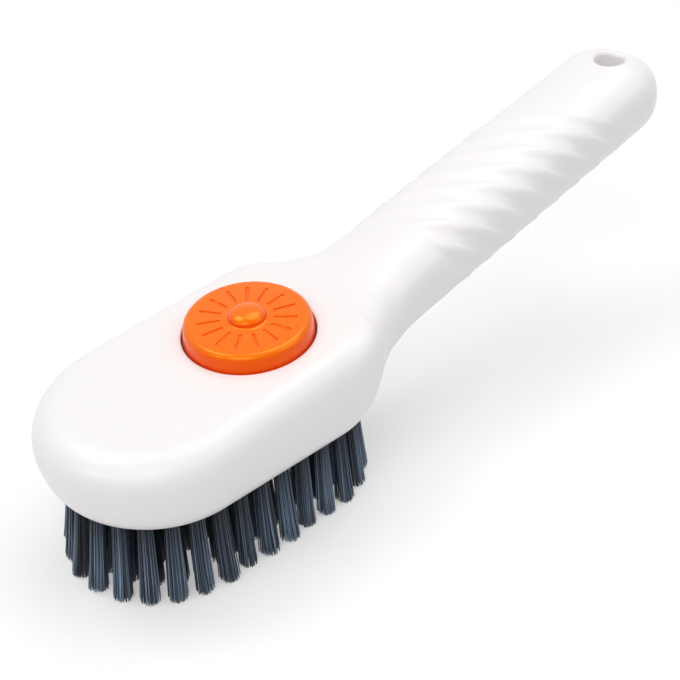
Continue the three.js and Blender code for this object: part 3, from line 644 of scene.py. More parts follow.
def shade(colour, factor):
    return tuple(min(1.0, channel * factor) for channel in colour[:3]) + (1.0,)


def moulded(name, colour, darker, roughness, grain, depth, **sockets):
    """Moulded plastic or rubber: slight mottling, uneven gloss and a fine skin"""
    finish = Finish(name)
    mottled = finish.mottle(scale=38, detail=2, first=shade(colour, darker), second=shade(colour, 1))
    finish.link(mottled, "Base Color")
    finish.skin(gloss=(140, 4), roughness=roughness, grain=grain, strength=0.35, depth=depth)
    finish.set(**sockets)
    return finish.material


def button_orange(face, deep):
    """Glossy orange moulding with painted shade: a deeper orange down its side, in its strokes and on the
    nub's flank
    """
    finish = Finish("orange_button")
    # Share of painted shade at each point, which mixes the deeper orange into the face's orange
    depth = finish.add("ShaderNodeAttribute", attribute_name="deep").outputs["Fac"]
    mottled = finish.mottle(scale=90, detail=2, first=shade(face, 0.96), second=shade(face, 1))
    finish.link(finish.mix(depth, mottled, shade(deep, 1)), "Base Color")
    finish.skin(gloss=(140, 4), roughness=(0.16, 0.22), grain=300, strength=0.3, depth=0.006)
    finish.set(specular_ior_level=1.0, specular_tint=(1, 0.72, 0.08, 1))
    return finish.material


def drawn_wire(name, colour):
    """Bright drawn wire with fine lines along it"""
    finish = Finish(name)
    mottled = finish.mottle(scale=900, detail=4, first=shade(colour, 0.8), second=shade(colour, 1))
    finish.link(mottled, "Base Color")
    finish.skin(gloss=(2600, 3), roughness=(0.29, 0.42), grain=5200, strength=0.25, depth=0.01)
    finish.set(metallic=1.0)
    return finish.material


def slate_strand(colour):
    """Nylon strand: each has its own tone, with painted shade that darkens it to its root and in the inner
    rows
    """
    finish = Finish("slate_strand")
    tone = finish.add("ShaderNodeAttribute", attribute_name="tone").outputs["Fac"]
    darkest, lightest = (shade(colour, factor) for factor in STRAND_TONES)
    finish.link(finish.mix(tone, darkest, lightest), "Base Color")
    finish.skin(gloss=(420, 3), roughness=(0.32, 0.46), grain=1800, strength=0.2, depth=0.02)
    finish.set(specular_ior_level=0.35)
    return finish.material


FINISHES = {}


def finish_of(slot):
    """The finish of a slot, made when it is first asked for"""
    if slot not in FINISHES:
        colours = bpy.context.scene.brush_colours
        makers = {
            "white_shell": lambda: moulded(
                "white_shell", colours.shell, darker=0.99, roughness=(0.285, 0.325), grain=160, depth=0.005,
                specular_ior_level=0.45,
            ),
            "orange_button": lambda: button_orange(colours.button, colours.button_painted_shade),
            "slate_bristles": lambda: slate_strand(colours.strand),
            "natural_plastic": lambda: moulded(
                "natural_plastic", colours.natural, darker=0.93, roughness=(0.38, 0.52), grain=1300,
                depth=0.02,
            ),
            "seal_rubber": lambda: moulded(
                "seal_rubber", colours.rubber, darker=0.7, roughness=(0.6, 0.85), grain=1500, depth=0.03
            ),
            "spring_steel": lambda: drawn_wire("spring_steel", colours.steel),
        }
        FINISHES[slot] = makers[slot]()
    return FINISHES[slot]


# Shape of the white moulding, in millimetres in the head's frame


def facet_height(station):
    return FACET_HEIGHT + math.tan(FACET_TILT) * station


def axis_height(station):
    return WIDEST_HEIGHT + math.tan(HANDLE_RISE) * (station - AXIS_START)


def arc_half_width(radius, centre, station):
    return math.sqrt(max(0, radius**2 - max(0, station - centre) ** 2))


def plan_half_width(station, head, handle):
    """Half width in plan: the head's round back end, a hollow fillet, then the handle"""
    reach = math.sqrt((head + NECK_FILLET) ** 2 - (handle + NECK_FILLET) ** 2)
    if station < WIDEST_BACK + reach * head / (head + NECK_FILLET):
        return arc_half_width(head, WIDEST_BACK, station)
    left = max(0, WIDEST_BACK + reach - station)
    return handle + NECK_FILLET - math.sqrt(NECK_FILLET**2 - left**2)


def section(station, sizes):
    """Half widths, spine, reach above and below it, powers and lean of the body at a station"""
    past = station - RIM_END
    head, handle = sizes.head_half_width / MM, sizes.handle_half_width / MM
    half_height = sizes.handle_half_height / MM
    spine = lerp(WIDEST_HEIGHT, axis_height(station), smoothstep(past, *SPINE_BLEND))
    to_handle = smoothstep(past, *TOP_BLEND)
    under_handle = smoothstep(past, *BELOW_BLEND)
    shoulder = lerp(SHOULDER_POWER, NECK_POWER, smoothstep(past, *FULLER_BLEND))
    return {
        "wide": plan_half_width(station, head, handle),
        "bottom": arc_half_width(RIM_HALF_WIDTH, HEAD_STRAIGHT, station),
        "top": arc_half_width(FACET_HALF_WIDTH, FACET_BACK, station),
        "spine": spine,
        "above": lerp(facet_height(station) - spine, half_height, to_handle),
        "below": lerp(spine - RIM_HEIGHT, half_height, under_handle),
        "top_power": lerp(shoulder, HANDLE_TOP_POWER, smoothstep(past, *SOFTER_BLEND)),
        "below_power": lerp(FLANK_POWER, HANDLE_BELOW_POWER, under_handle),
        "lean": HANDLE_RISE * smoothstep(past, *LEAN_BLEND),
    }


def even(points, steps):
    """Points spaced evenly along a line"""
    lengths = np.concatenate([[0], np.cumsum(np.hypot(*np.diff(points, axis=0).T))])
    if lengths[-1] < TINY:
        return np.repeat(points[:1], steps + 1, axis=0)
    wanted = np.linspace(0, lengths[-1], steps + 1)
    return np.column_stack([np.interp(wanted, lengths, points[:, i]) for i in range(2)])


def half_profile(shape):
    """Half section from the bottom's middle, out round the widest line, to the top's middle"""
    turn = quarter_turn(PROFILE_STEPS)
    sine, cosine = np.sin(turn), np.clip(np.cos(turn), 0, 1)
    low, high = 2 / shape["below_power"], 2 / shape["top_power"]
    wide, bottom, top = shape["wide"], shape["bottom"], shape["top"]
    flank = np.column_stack([bottom + (wide - bottom) * sine**low, -shape["below"] * cosine**low])
    shoulder = np.column_stack([top + (wide - top) * cosine**high, shape["above"] * sine**high])
    under = np.array([[0, -shape["below"]], [bottom, -shape["below"]]])
    over = np.array([[top, shape["above"]], [0, shape["above"]]])
    return np.concatenate(
        [
            even(under, FACET_STEPS)[:-1],
            even(flank, BELOW_STEPS)[:-1],
            even(shoulder, ABOVE_STEPS)[:-1],
            even(over, FACET_STEPS),
        ]
    )


def grip_lobes(station, profile, side, depth):
    """How far the grip stands out at each point of a half section"""
    arc = np.concatenate([[0], np.cumsum(np.hypot(*np.diff(profile[::-1], axis=0).T))])[::-1] * -side
    along = (station - AXIS_START) / math.cos(HANDLE_RISE)
    phase = (along - GRIP_TWIST * arc - GRIP_FIRST) / GRIP_PITCH
    turn = phase - np.floor(phase)
    lobe = smoothstep(turn, *GRIP_RISE) - smoothstep(turn, *GRIP_FALL)
    held = np.clip(arc, -GRIP_HELD, GRIP_HELD)
    starts = smoothstep(along - GRIP_STARTS[2] * held, *GRIP_STARTS[:2])
    ends = 1 - smoothstep(along - GRIP_ENDS[2] * held, *GRIP_ENDS[:2])
    around = np.interp(np.abs(arc), GRIP_ROUND, GRIP_SHARES)
    return depth * (lobe - 0.5) * starts * ends * around


def leaning(station, shape, across, up):
    """Points of a section at its station, where they lean with the handle"""
    along = FRONT_X + station - up * math.sin(shape["lean"])
    return np.column_stack([along, across, shape["spine"] + up * math.cos(shape["lean"])])


def side_column(station, side, sizes, size=1.0):
    """Points up one side of the body at a station, with the grip's lobes on the handle"""
    shape = section(station, sizes)
    profile = half_profile(shape)
    if size == 1.0:
        run = np.gradient(profile, axis=0)
        outward = np.column_stack([run[:, 1], -run[:, 0]])
        outward /= np.maximum(TINY, np.hypot(*outward.T))[:, None]
        outward[-FACET_STEPS - 1 :] = (0, 1)
        profile = profile + outward * grip_lobes(station, profile, side, sizes.grip_depth / MM)[:, None]
        profile[0, 0] = profile[-1, 0] = 0
    across, up = (profile * size).T
    return leaning(station, shape, side * across, up)


def nose_column(turn, sizes):
    """The nose's profile at a turn about the front centre, with the facet's edge on its own circle"""
    along, across = math.cos(turn), math.sin(turn)
    edge = FACET_FRONT * along + math.sqrt(FACET_HALF_WIDTH**2 - (FACET_FRONT * across) ** 2)
    profile = half_profile(
        {
            "wide": sizes.head_half_width / MM,
            "bottom": RIM_HALF_WIDTH,
            "top": edge,
            "above": facet_height(edge * along) - WIDEST_HEIGHT,
            "below": WIDEST_HEIGHT - RIM_HEIGHT,
            "top_power": SHOULDER_POWER,
            "below_power": FLANK_POWER,
        }
    )
    out, up = profile.T
    up[-FACET_STEPS - 1 :] = facet_height(out[-FACET_STEPS - 1 :] * along) - WIDEST_HEIGHT
    return np.column_stack([FRONT_X + out * along, out * across, WIDEST_HEIGHT + up])


def cap_station(sizes):
    """Station where the handle's round end begins"""
    return END_STATION - math.hypot(END_CAP, sizes.handle_half_height / MM * math.sin(HANDLE_RISE))


def body_stations(cap):
    """Stations from the front centre to the round end, closest along the grip"""
    back = np.sin(quarter_turn(QUARTER_STEPS))
    stations = np.concatenate(
        [
            np.linspace(0, FACET_BACK, HEAD_STEPS),
            FACET_BACK + FACET_HALF_WIDTH * back,
            HEAD_STRAIGHT + RIM_HALF_WIDTH * back,
            np.arange(RIM_END, GRIP_RUN[0], NECK_STEP),
            np.arange(*GRIP_RUN, GRIP_STEP),
            np.linspace(GRIP_RUN[1], cap, TAIL_STEPS),
        ]
    )
    stations.sort()
    return stations[np.concatenate([[True], np.diff(stations) > LEAST_STEP])]


def body_outside(sizes):
    """Outer skin: up one side from the handle's end, round the nose and back down the other side"""
    cap = cap_station(sizes)
    stations = body_stations(cap)
    ends = quarter_turn(CAP_STEPS)[1:]

    def side(sign):
        columns = [side_column(station, sign, sizes) for station in stations]
        columns += [side_column(cap + END_CAP * math.sin(t), sign, sizes, math.cos(t)) for t in ends]
        return columns

    nose = [nose_column(math.pi * (0.5 + i / NOSE_STEPS), sizes) for i in range(1, NOSE_STEPS)]
    columns = np.array(side(1)[::-1] + nose + side(-1)) * MM
    columns[0] = columns[-1] = columns[0].mean(axis=0)
    return lofted("body_shell", columns)


def handle_void(sizes):
    """Hollow of the handle, from the head to its end"""
    cap = cap_station(sizes)
    neck_steps, handle_steps, end_steps = VOID_STEPS
    turn = np.linspace(0, 2 * math.pi, VOID_SIDES + 1)
    stations = [RIM_END + step for step in np.linspace(*VOID_NECK, neck_steps)]
    stations += list(np.linspace(stations[-1], cap, handle_steps)[1:])
    ends = quarter_turn(end_steps)[1:]
    rings = [(station, 1.0) for station in stations]
    rings += [(cap + (END_CAP - HANDLE_WALL) * math.sin(t), math.cos(t)) for t in ends]
    half_width = sizes.handle_half_width / MM - HANDLE_WALL
    columns = []
    for station, size in rings:
        shape = section(station, sizes)
        into = smoothstep(station - RIM_END, *VOID_DEEPENS)
        low = lerp(LEDGE_HEIGHT + NECK_FLOOR - shape["spine"], HANDLE_WALL - shape["below"], into)
        high = shape["above"] - HANDLE_WALL
        up = size * ((high + low) / 2 + (high - low) / 2 * np.sin(turn))
        columns.append(leaning(station, shape, size * half_width * np.cos(turn), up))
    columns.insert(0, np.repeat(columns[0].mean(axis=0)[None], len(turn), axis=0))
    columns[-1] = np.repeat(columns[-1].mean(axis=0)[None], len(turn), axis=0)
    return lofted("handle_void", np.array(columns) * MM)


def lip_points(centre, out, height, way, sizes):
    """Rounded edge at one end of the hang hole, from the handle's surface into the bore"""
    lip, bore = sizes.hang_lip, sizes.hang_radius
    return [
        centre + out * (bore + lip * (1 - math.sin(t)))
        + UP * (height - way * lip * (1 - math.cos(t)) - way * LIP_SINK * MM)
        for t in quarter_turn(LIP_STEPS)
    ]


def hang_tube(body, sizes):
    """Cutter of the hang hole: a straight bore whose ends open in a rounded lip that follows the handle"""
    tree = BVHTree.FromObject(body, bpy.context.evaluated_depsgraph_get())
    centre = Vector(((FRONT_X + HANG_STATION) * MM, 0, 0))
    past = LIP_CLEAR * sizes.hang_lip
    columns = []
    for turn in np.linspace(0, 2 * math.pi, TURN_STEPS + 1)[:-1]:
        out = Vector((math.cos(turn), math.sin(turn), 0))
        foot = centre + out * (sizes.hang_radius + sizes.hang_lip)
        over, under = tree.ray_cast(foot + UP, -UP)[0], tree.ray_cast(foot - UP, UP)[0]
        if over is None or under is None:
            raise RuntimeError("the hang hole lies off the handle")
        high, low = over.z, under.z
        column = [centre + UP * (high + past), foot + UP * (high + past)]
        column += lip_points(centre, out, high, 1, sizes)
        column += lip_points(centre, out, low, -1, sizes)[::-1]
        column += [foot + UP * (low - past), centre + UP * (low - past)]
        columns.append(column)
    columns.append(columns[0])
    columns = np.array([[list(point) for point in column] for column in columns])
    columns[:, :2, 2] = columns[:, :2, 2].max()
    columns[:, -2:, 2] = columns[:, -2:, 2].min()
    return lofted("hang_tube", columns)


def head_hollow():
    """Cutter of the head's inside: plate recess, mouth over its ledge and chamber under the roof, in one"""
    under, roof = RIM_HEIGHT - BELOW_RIM, facet_height(END_STATION)
    profile = [
        (0, under), (RECESS_RADIUS, under), (RECESS_RADIUS, LEDGE_HEIGHT),
        (MOUTH_RADIUS, LEDGE_HEIGHT), (MOUTH_RADIUS, CHAMBER_HEIGHT), (CHAMBER_RADIUS, CHAMBER_HEIGHT),
        (CHAMBER_RADIUS, roof), (0, roof),
    ]
    hollow = spun("head_hollow", profile, TURN_STEPS, Matrix.Translation((FRONT_X * MM, 0, 0)))
    draw_out(hollow)
    keep_side(hollow, BUTTON_CENTRE - BUTTON_AXIS * TOP_WALL * MM, BUTTON_AXIS)
    return hollow


def well_cutter():
    """Cutter of the button's well, opening in a small rounded lip"""
    lip = [
        (WELL_RADIUS + WELL_LIP * (1 - math.cos(t)), -WELL_LIP * (1 - math.sin(t)))
        for t in quarter_turn(WELL_LIP_STEPS)
    ]
    profile = [(0, -WELL_DEPTH), (WELL_RADIUS, -WELL_DEPTH), *lip]
    profile += [(WELL_RADIUS + WELL_LIP, 2 * WELL_DEPTH), (0, 2 * WELL_DEPTH)]
    return spun("well", profile, 2 * TURN_STEPS, BUTTON_FRAME)


class BRUSH_OT_body_shell(bpy.types.Operator):
    """Models the hollow white moulding with its twisted grip, well and hang hole"""

    bl_idname = "brush.body_shell"
    bl_label = "Body shell"

    def execute(self, context):
        sizes = context.scene.brush_body
        body = body_outside(sizes)
        hang = hang_tube(body, sizes)
        void = handle_void(sizes)
        wall, top = sizes.hang_radius / MM + HANDLE_WALL, 2 * axis_height(END_STATION)
        place = Matrix.Translation(Vector((FRONT_X + HANG_STATION, 0, 0)) * MM)
        cut(void, spun("pillar", ring_section(0, wall, RIM_HEIGHT, top), PILLAR_STEPS, place))
        for cutter in (head_hollow(), void, well_cutter(), hang):
            cut(body, cutter)
        smooth(body)
        seat(body, "body_shell", "body", "white_shell")
        return {"FINISHED"}


# Button


def mark_painted_shade(piece, sizes):
    """Marks the button's painted shade, a deeper orange: down its side, in its strokes and on the nub's steep
    flank
    """
    to_face = BUTTON_FRAME.inverted()
    places = np.array([to_face @ vertex.co for vertex in piece.data.vertices])
    depth = sizes.proud - places[:, 2]
    marks = smoothstep(depth, *(edge * MM for edge in PAINTED_SHADE_DEPTHS))
    reach = np.hypot(places[:, 0], places[:, 1]) / MM
    in_face = reach < STROKE_REACH[1] + STROKE_EDGE
    marks = np.maximum(marks, STROKE_PAINTED_SHADE * in_face * smoothstep(depth, 0, sizes.stroke_depth))
    steep = np.array([1 - vertex.normal.dot(BUTTON_AXIS) for vertex in piece.data.vertices])
    on_nub = (reach < STROKE_REACH[0]) & (depth < 0)
    marks = np.maximum(marks, NUB_PAINTED_SHADE * on_nub * smoothstep(steep, *NUB_STEEP))
    piece.data.attributes.new("deep", "FLOAT", "POINT").data.foreach_set("value", marks.astype(np.float32))


def button_profile(sizes):
    """Half section of the cap: dome, hollow foot, face, rounded edge, side, skirts and boss"""
    proud, radius = sizes.proud / MM, sizes.radius / MM
    face, edge = radius - sizes.draft / MM, sizes.edge / MM
    nub, flare, height = sizes.nub_radius / MM, sizes.nub_flare / MM, sizes.nub_height / MM
    dome_foot = NUB_FOOT * height
    dome = [
        (
            nub * math.sin(t) ** (2 / NUB_POWER),
            proud + dome_foot + (height - dome_foot) * max(0, math.cos(t)) ** (2 / NUB_POWER),
        )
        for t in quarter_turn(DOME_STEPS)
    ]
    foot = [
        (nub + flare * (1 - math.cos(t)), proud + dome_foot * (1 - math.sin(t)))
        for t in quarter_turn(EDGE_STEPS)[1:]
    ]
    rounding = [
        (face - edge * (1 - math.sin(t)), proud - edge * (1 - math.cos(t))) for t in quarter_turn(EDGE_STEPS)
    ]
    wall = radius - SIDE_WALL
    side = [(radius, 0), (radius, SIDE_FOOT), (wall, SIDE_FOOT), (wall, CAP_ROOF)]
    return dome + foot + rounding + side + CAP_INSIDE


def stroke_cutters(sizes):
    """Wedge-shaped strokes, one modelled from a cube and turned round the face"""
    clear_selection()
    depth = sizes.stroke_depth
    start, end = (reach * MM for reach in STROKE_REACH)
    bpy.ops.mesh.primitive_cube_add(size=1, location=((start + end) / 2, 0, sizes.proud))
    stroke = bpy.context.object
    stroke.scale = (end - start, STROKE_WIDTHS[0] * MM, 2 * depth)
    bpy.ops.object.transform_apply(location=True, rotation=True, scale=True)
    select_points(stroke, lambda co: co[:, 0] > (start + end) / 2)
    bpy.ops.object.mode_set(mode="EDIT")
    narrowing = STROKE_WIDTHS[1] / STROKE_WIDTHS[0]
    bpy.ops.transform.resize(value=(1, narrowing, 1), center_override=(end, 0, sizes.proud))
    bpy.ops.object.mode_set(mode="OBJECT")
    softened(stroke, STROKE_EDGE, segments=3)
    copies = []
    for i in range(sizes.strokes):
        copy = stroke.copy()
        copy.data = stroke.data.copy()
        bpy.context.scene.collection.objects.link(copy)
        copies.append(copy)
        turn = Matrix.Rotation(i / sizes.strokes * 2 * math.pi, 4, "Z")
        set_in_place(copy, BUTTON_FRAME @ turn)
    bpy.data.objects.remove(stroke)
    return joined(copies)


class BRUSH_OT_button_cap(bpy.types.Operator):
    """Models the orange press button with its nub and radial strokes"""

    bl_idname = "brush.button_cap"
    bl_label = "Button cap"

    def execute(self, context):
        sizes = context.scene.brush_button
        cap = spun("button_cap", button_profile(sizes), 2 * TURN_STEPS, BUTTON_FRAME)
        cut(cap, stroke_cutters(sizes))
        # Paints shade into the button's colour down its side, in its strokes and on the nub's flank
        mark_painted_shade(cap, sizes)
        smooth(cap, 38)
        seat(cap, "button_cap", "button", "orange_button")
        return {"FINISHED"}


# Bristles


def row_places(row):
    """Places of a row's tufts, whose tips are evenly spaced, with the way outwards at each"""
    offset = PLATE_RADIUS - ROW_INSET - row * ROW_PITCH
    reach = offset + ROW_LEAN[row]
    arc = math.pi * reach
    around = 2 * HEAD_STRAIGHT + 2 * arc
    places = []
    for i in range(TUFTS_IN_ROW[row]):
        far = ((i + 0.5) / TUFTS_IN_ROW[row] * around + HEAD_STRAIGHT / 2) % around
        if far < HEAD_STRAIGHT:
            places.append((far, -offset, 0, -1))
        elif far < HEAD_STRAIGHT + arc:
            turn = (far - HEAD_STRAIGHT) / reach - math.pi / 2
            out = (math.cos(turn), math.sin(turn))
            places.append((HEAD_STRAIGHT + offset * out[0], offset * out[1], *out))
        elif far < 2 * HEAD_STRAIGHT + arc:
            places.append((2 * HEAD_STRAIGHT + arc - far, offset, 0, 1))
        else:
            turn = (far - 2 * HEAD_STRAIGHT - arc) / reach + math.pi / 2
            out = (math.cos(turn), math.sin(turn))
            places.append((offset * out[0], offset * out[1], *out))
    return np.array(places)


def strand_master():
    """One strand of unit length and width, modelled from a four-sided ring drawn down in steps"""
    clear_selection()
    bpy.ops.mesh.primitive_circle_add(vertices=STRAND_SIDES, radius=1, location=(0, 0, 0))
    strand = bpy.context.object
    bpy.ops.object.mode_set(mode="EDIT")
    bpy.ops.mesh.select_all(action="SELECT")
    for _ in range(STRAND_STEPS):
        bpy.ops.mesh.extrude_region_move(TRANSFORM_OT_translate={"value": (0, 0, -1 / STRAND_STEPS)})
    bpy.ops.mesh.edge_face_add()
    bpy.ops.mesh.select_all(action="SELECT")
    bpy.ops.mesh.normals_make_consistent(inside=False)
    bpy.ops.object.mode_set(mode="OBJECT")
    co = np.array([v.co[:] for v in strand.data.vertices])
    faces = [list(face.vertices) for face in strand.data.polygons]
    bpy.data.objects.remove(strand)
    return co, faces


def tufts(places, row, sizes, draws):
    """Tufts of fine strands at the given places, each strand a bent copy of the master"""
    co, faces = strand_master()
    share = -co[:, 2]
    golden = math.pi * (3 - math.sqrt(5))
    number = sizes.strands
    root_height = (BACKING[0] + ROOT_SINK) * MM
    # Painted shade along each strand, darker at the root and in the inner rows, multiplied into its own tone
    painted_row_shade = lerp(*ROW_PAINTED_SHADE[row][:2], smoothstep(share, *ROW_PAINTED_SHADE[row][2:]))
    index = np.arange(number)
    reach = np.sqrt((index + 0.5) / number)
    points, tones_and_shade = [], []
    for along, across, out_x, out_y in places:
        turn = golden * index + draws.uniform(0, 2 * math.pi)
        disc = np.column_stack([np.cos(turn), np.sin(turn)]) * reach[:, None]
        disc += draws.normal(0, PLACE_SPREAD, disc.shape)
        bearing = np.arctan2(disc[:, 1], disc[:, 0]) / (2 * math.pi)
        lock = (bearing * LOCKS + draws.uniform(0, 1)).astype(int) % LOCKS
        lock_drift = draws.normal(0, LOCK_DRIFT, (LOCKS, 2))[lock]
        lock_tone = draws.normal(0, LOCK_TONE, LOCKS)[lock]
        lean = np.array([out_x, out_y]) * TIP_LEAN[row] * draws.uniform(*LEAN_RANGE)
        lean += draws.normal(0, LEAN_SPREAD, 2)
        centre = np.array([FRONT_X + along, across]) * MM
        root = centre + disc * sizes.root_radius
        splay = disc * sizes.tip_radius * draws.uniform(*SPLAY_RANGE)
        tip = centre + splay + (lean + lock_drift + draws.normal(0, TIP_SPREAD, disc.shape)) * MM
        lowest = draws.beta(*SHORT_DRAW, number) * sizes.uneven + sizes.crown * reach**CROWN_POWER
        lowest -= lowest.min()
        curl = draws.normal(0, CURL_SPREAD, disc.shape) * MM
        tone = np.clip(draws.normal(*TONE_DRAW, number) + lock_tone, *TONE_RANGE)
        twist = draws.uniform(0, math.pi, number)
        for i in range(number):
            path = root[i] + (tip[i] - root[i]) * (share**BEND_POWER)[:, None]
            path = path + curl[i] * np.sin(math.pi * share)[:, None]
            width = sizes.strand_radius * (1 - STRAND_TAPER * share)
            cosine, sine = math.cos(twist[i]), math.sin(twist[i])
            x = (co[:, 0] * cosine - co[:, 1] * sine) * width
            y = (co[:, 0] * sine + co[:, 1] * cosine) * width
            z = root_height + (lowest[i] - root_height) * share
            points.append(np.column_stack([path[:, 0] + x, path[:, 1] + y, z]))
            tones_and_shade.append(tone[i] * painted_row_shade)
    return points, tones_and_shade, faces


def backing(name, outer, inner, ends=None):
    """A slice of the tuft backing: a block with round ends, bored out and cut to its own stretch"""
    piece = stadium_prism(name, outer, *BACKING)
    low, high = BACKING[0] - 1, BACKING[1] + 1
    if inner:
        cut(piece, stadium_prism("bored", inner, low, high))
    else:
        cut(piece, spun("bored", ring_section(0, SEAT_BORE, low, high), BORE_STEPS, VALVE_FRAME))
    if ends:
        middle = Vector((FRONT_X + HEAD_STRAIGHT / 2 + ends * SEAT_GAP, 0, 0)) * MM
        keep_side(piece, middle, (-ends, 0, 0))
    softened(piece, BACKING_EDGE)
    return piece


class BRUSH_OT_bristles(bpy.types.Operator):
    """Models the rows of slate tufts on their slices of backing"""

    bl_idname = "brush.bristles"
    bl_label = "Bristles"

    def execute(self, context):
        sizes = context.scene.brush_bristles
        draws = np.random.default_rng(sizes.seed)
        edges = [PLATE_RADIUS - ROW_INSET - row * ROW_PITCH - ROW_PITCH / 2 for row in (0, 1)]
        half = HEAD_STRAIGHT / 2
        rows = [row_places(row) for row in range(len(TUFTS_IN_ROW))]
        clear = [np.hypot(FRONT_X + row[:, 0] - VALVE_X, row[:, 1]) > VALVE_CLEAR for row in rows]
        pieces = (
            ("outer_front_tufts", rows[0][rows[0][:, 0] < half], 0, PLATE_RADIUS, edges[0] + SEAT_GAP, -1),
            ("outer_back_tufts", rows[0][rows[0][:, 0] > half], 0, PLATE_RADIUS, edges[0] + SEAT_GAP, 1),
            ("middle_tufts", rows[1][clear[1]], 1, edges[0] - SEAT_GAP, edges[1] + SEAT_GAP, None),
            ("inner_tufts", rows[2][clear[2]], 2, edges[1] - SEAT_GAP, None, None),
        )
        for name, places, row, outer, inner, ends in pieces:
            slice_piece = backing(name, outer, inner, ends)
            points, tones_and_shade, faces = tufts(places, row, sizes, draws)
            step = len(points[0])
            mesh = bpy.data.meshes.new(name + "_strands")
            corners = [[corner + i * step for corner in face] for i in range(len(points)) for face in faces]
            mesh.from_pydata(np.concatenate(points).tolist(), [], corners)
            attribute = mesh.attributes.new("tone", "FLOAT", "POINT")
            attribute.data.foreach_set("value", np.concatenate(tones_and_shade).astype(np.float32))
            strands = bpy.data.objects.new(name + "_strands", mesh)
            context.scene.collection.objects.link(strands)
            select_only(strands)
            bpy.ops.object.shade_smooth()
            smooth(slice_piece)
            joined([slice_piece, strands])
            seat(slice_piece, name, "body", "slate_bristles")
        return {"FINISHED"}


# Springs


def coil(name, radius, wire, turns, bottom, top, place):
    """A coil spring with closed ends, wound round its axis between two heights"""
    steps = int(turns * COIL_STEPS)
    share = np.linspace(0, 1, steps + 1)
    dead = CLOSED_TURNS / turns
    climb = np.clip((share - dead) / (1 - 2 * dead), 0, 1)
    rise = lerp(share, climb, CLIMB_SHARE)
    heights = bottom + wire / 2 + rise * (top - bottom - wire)
    around = np.linspace(0, 2 * math.pi, WIRE_SIDES + 1)
    outward, upward = np.cos(around)[:, None], np.sin(around)[:, None] * np.array([0, 0, 1])
    rings = []
    for angle, height in zip(share * turns * 2 * math.pi, heights):
        out = np.array([math.cos(angle), math.sin(angle), 0])
        centre = out * radius + np.array([0, 0, height])
        rings.append(centre + wire / 2 * (outward * out + upward))
    rings.insert(0, np.repeat(rings[0][:-1].mean(axis=0)[None], len(around), axis=0))
    rings.append(np.repeat(rings[-1][:-1].mean(axis=0)[None], len(around), axis=0))
    spring = lofted(name, np.array(rings) * MM)
    set_in_place(spring, place)
    smooth(spring, 60)
    return spring


class BRUSH_OT_springs(bpy.types.Operator):
    """Winds the button's return spring and the valve's spring"""

    bl_idname = "brush.springs"
    bl_label = "Springs"

    def execute(self, context):
        bottom, top = RETURN_HEIGHTS
        spring = coil("return_spring", *RETURN_COIL, bottom, top, BUTTON_FRAME)
        seat(spring, "return_spring", "cartridge", "spring_steel")
        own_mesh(spring)
        low, high = (corner.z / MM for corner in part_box("poppet_spring"))
        spring = coil("poppet_spring", *POPPET_COIL, low, high, VALVE_FRAME)
        seat(spring, "poppet_spring", "body", "spring_steel")
        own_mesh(spring)
        return {"FINISHED"}


class BRUSH_OT_turned_pieces(bpy.types.Operator):
    """Turns the small round pieces: snap ring, seals, retainer, plunger stem and valve"""

    bl_idname = "brush.turned_pieces"
    bl_label = "Turned pieces"

    def execute(self, context):
        for name, (body, slot, edge, profile) in TURNED_PIECES.items():
            place = BUTTON_FRAME if body in ("cartridge", "button") else VALVE_FRAME
            piece = spun(name, profile, TURN_STEPS, place)
            softened(piece, edge)
            smooth(piece)
            seat(piece, name, body, slot)
        return {"FINISHED"}


class BRUSH_OT_inner_mouldings(bpy.types.Operator):
    """Gives the plate, gasket, collar and sleeve their finishes"""

    bl_idname = "brush.inner_mouldings"
    bl_label = "Inner mouldings"

    def execute(self, context):
        for row in frame["record"]["subparts"]:
            if row["node"] in INNER_MOULDINGS:
                dress(frame["nodes"][row["node"]], finish_of(row["material_slot"]))
        return {"FINISHED"}


# Stage


def in_picture(nodes, links):
    """1 where the camera sees the stage straight on, in gloss or through glass, and 0 for its light"""
    path = nodes.new("ShaderNodeLightPath")
    seen = path.outputs["Is Camera Ray"]
    for name in ("Is Glossy Ray", "Is Transmission Ray"):
        either = nodes.new("ShaderNodeMath")
        either.operation = "MAXIMUM"
        links.new(seen, either.inputs[0])
        links.new(path.outputs[name], either.inputs[1])
        seen = either.outputs["Value"]
    return seen


def floor_finish(colour, shadow):
    """Pale floor, white in the picture with a soft shadow round the brush, and clear from below"""
    finish = Finish("pale_floor")
    seen = in_picture(finish.nodes, finish.links)
    away = finish.add("ShaderNodeVectorMath", operation="LENGTH")
    finish.links.new(finish.place, away.inputs[0])
    kept = finish.span(away.outputs["Value"], shadow, 0, FLOOR_FADE)
    finish.link(finish.mix(seen, shade(colour, 1), kept), "Base Color")
    glow = finish.add("ShaderNodeMath", operation="SUBTRACT")
    glow.inputs[0].default_value = FLOOR_WHITE
    finish.links.new(kept, glow.inputs[1])
    shown = finish.add("ShaderNodeMath", operation="MULTIPLY")
    finish.links.new(seen, shown.inputs[0])
    finish.links.new(glow.outputs["Value"], shown.inputs[1])
    finish.link(shown.outputs["Value"], "Emission Strength")
    finish.set(emission_color=(1, 1, 1, 1), roughness=1, specular_ior_level=0)
    sides = finish.add("ShaderNodeMixShader")
    finish.links.new(finish.add("ShaderNodeNewGeometry").outputs["Backfacing"], sides.inputs[0])
    finish.links.new(finish.shader.outputs[0], sides.inputs[1])
    finish.links.new(finish.add("ShaderNodeBsdfTransparent").outputs[0], sides.inputs[2])
    finish.links.new(sides.outputs[0], finish.nodes["Material Output"].inputs["Surface"])
    return finish.material


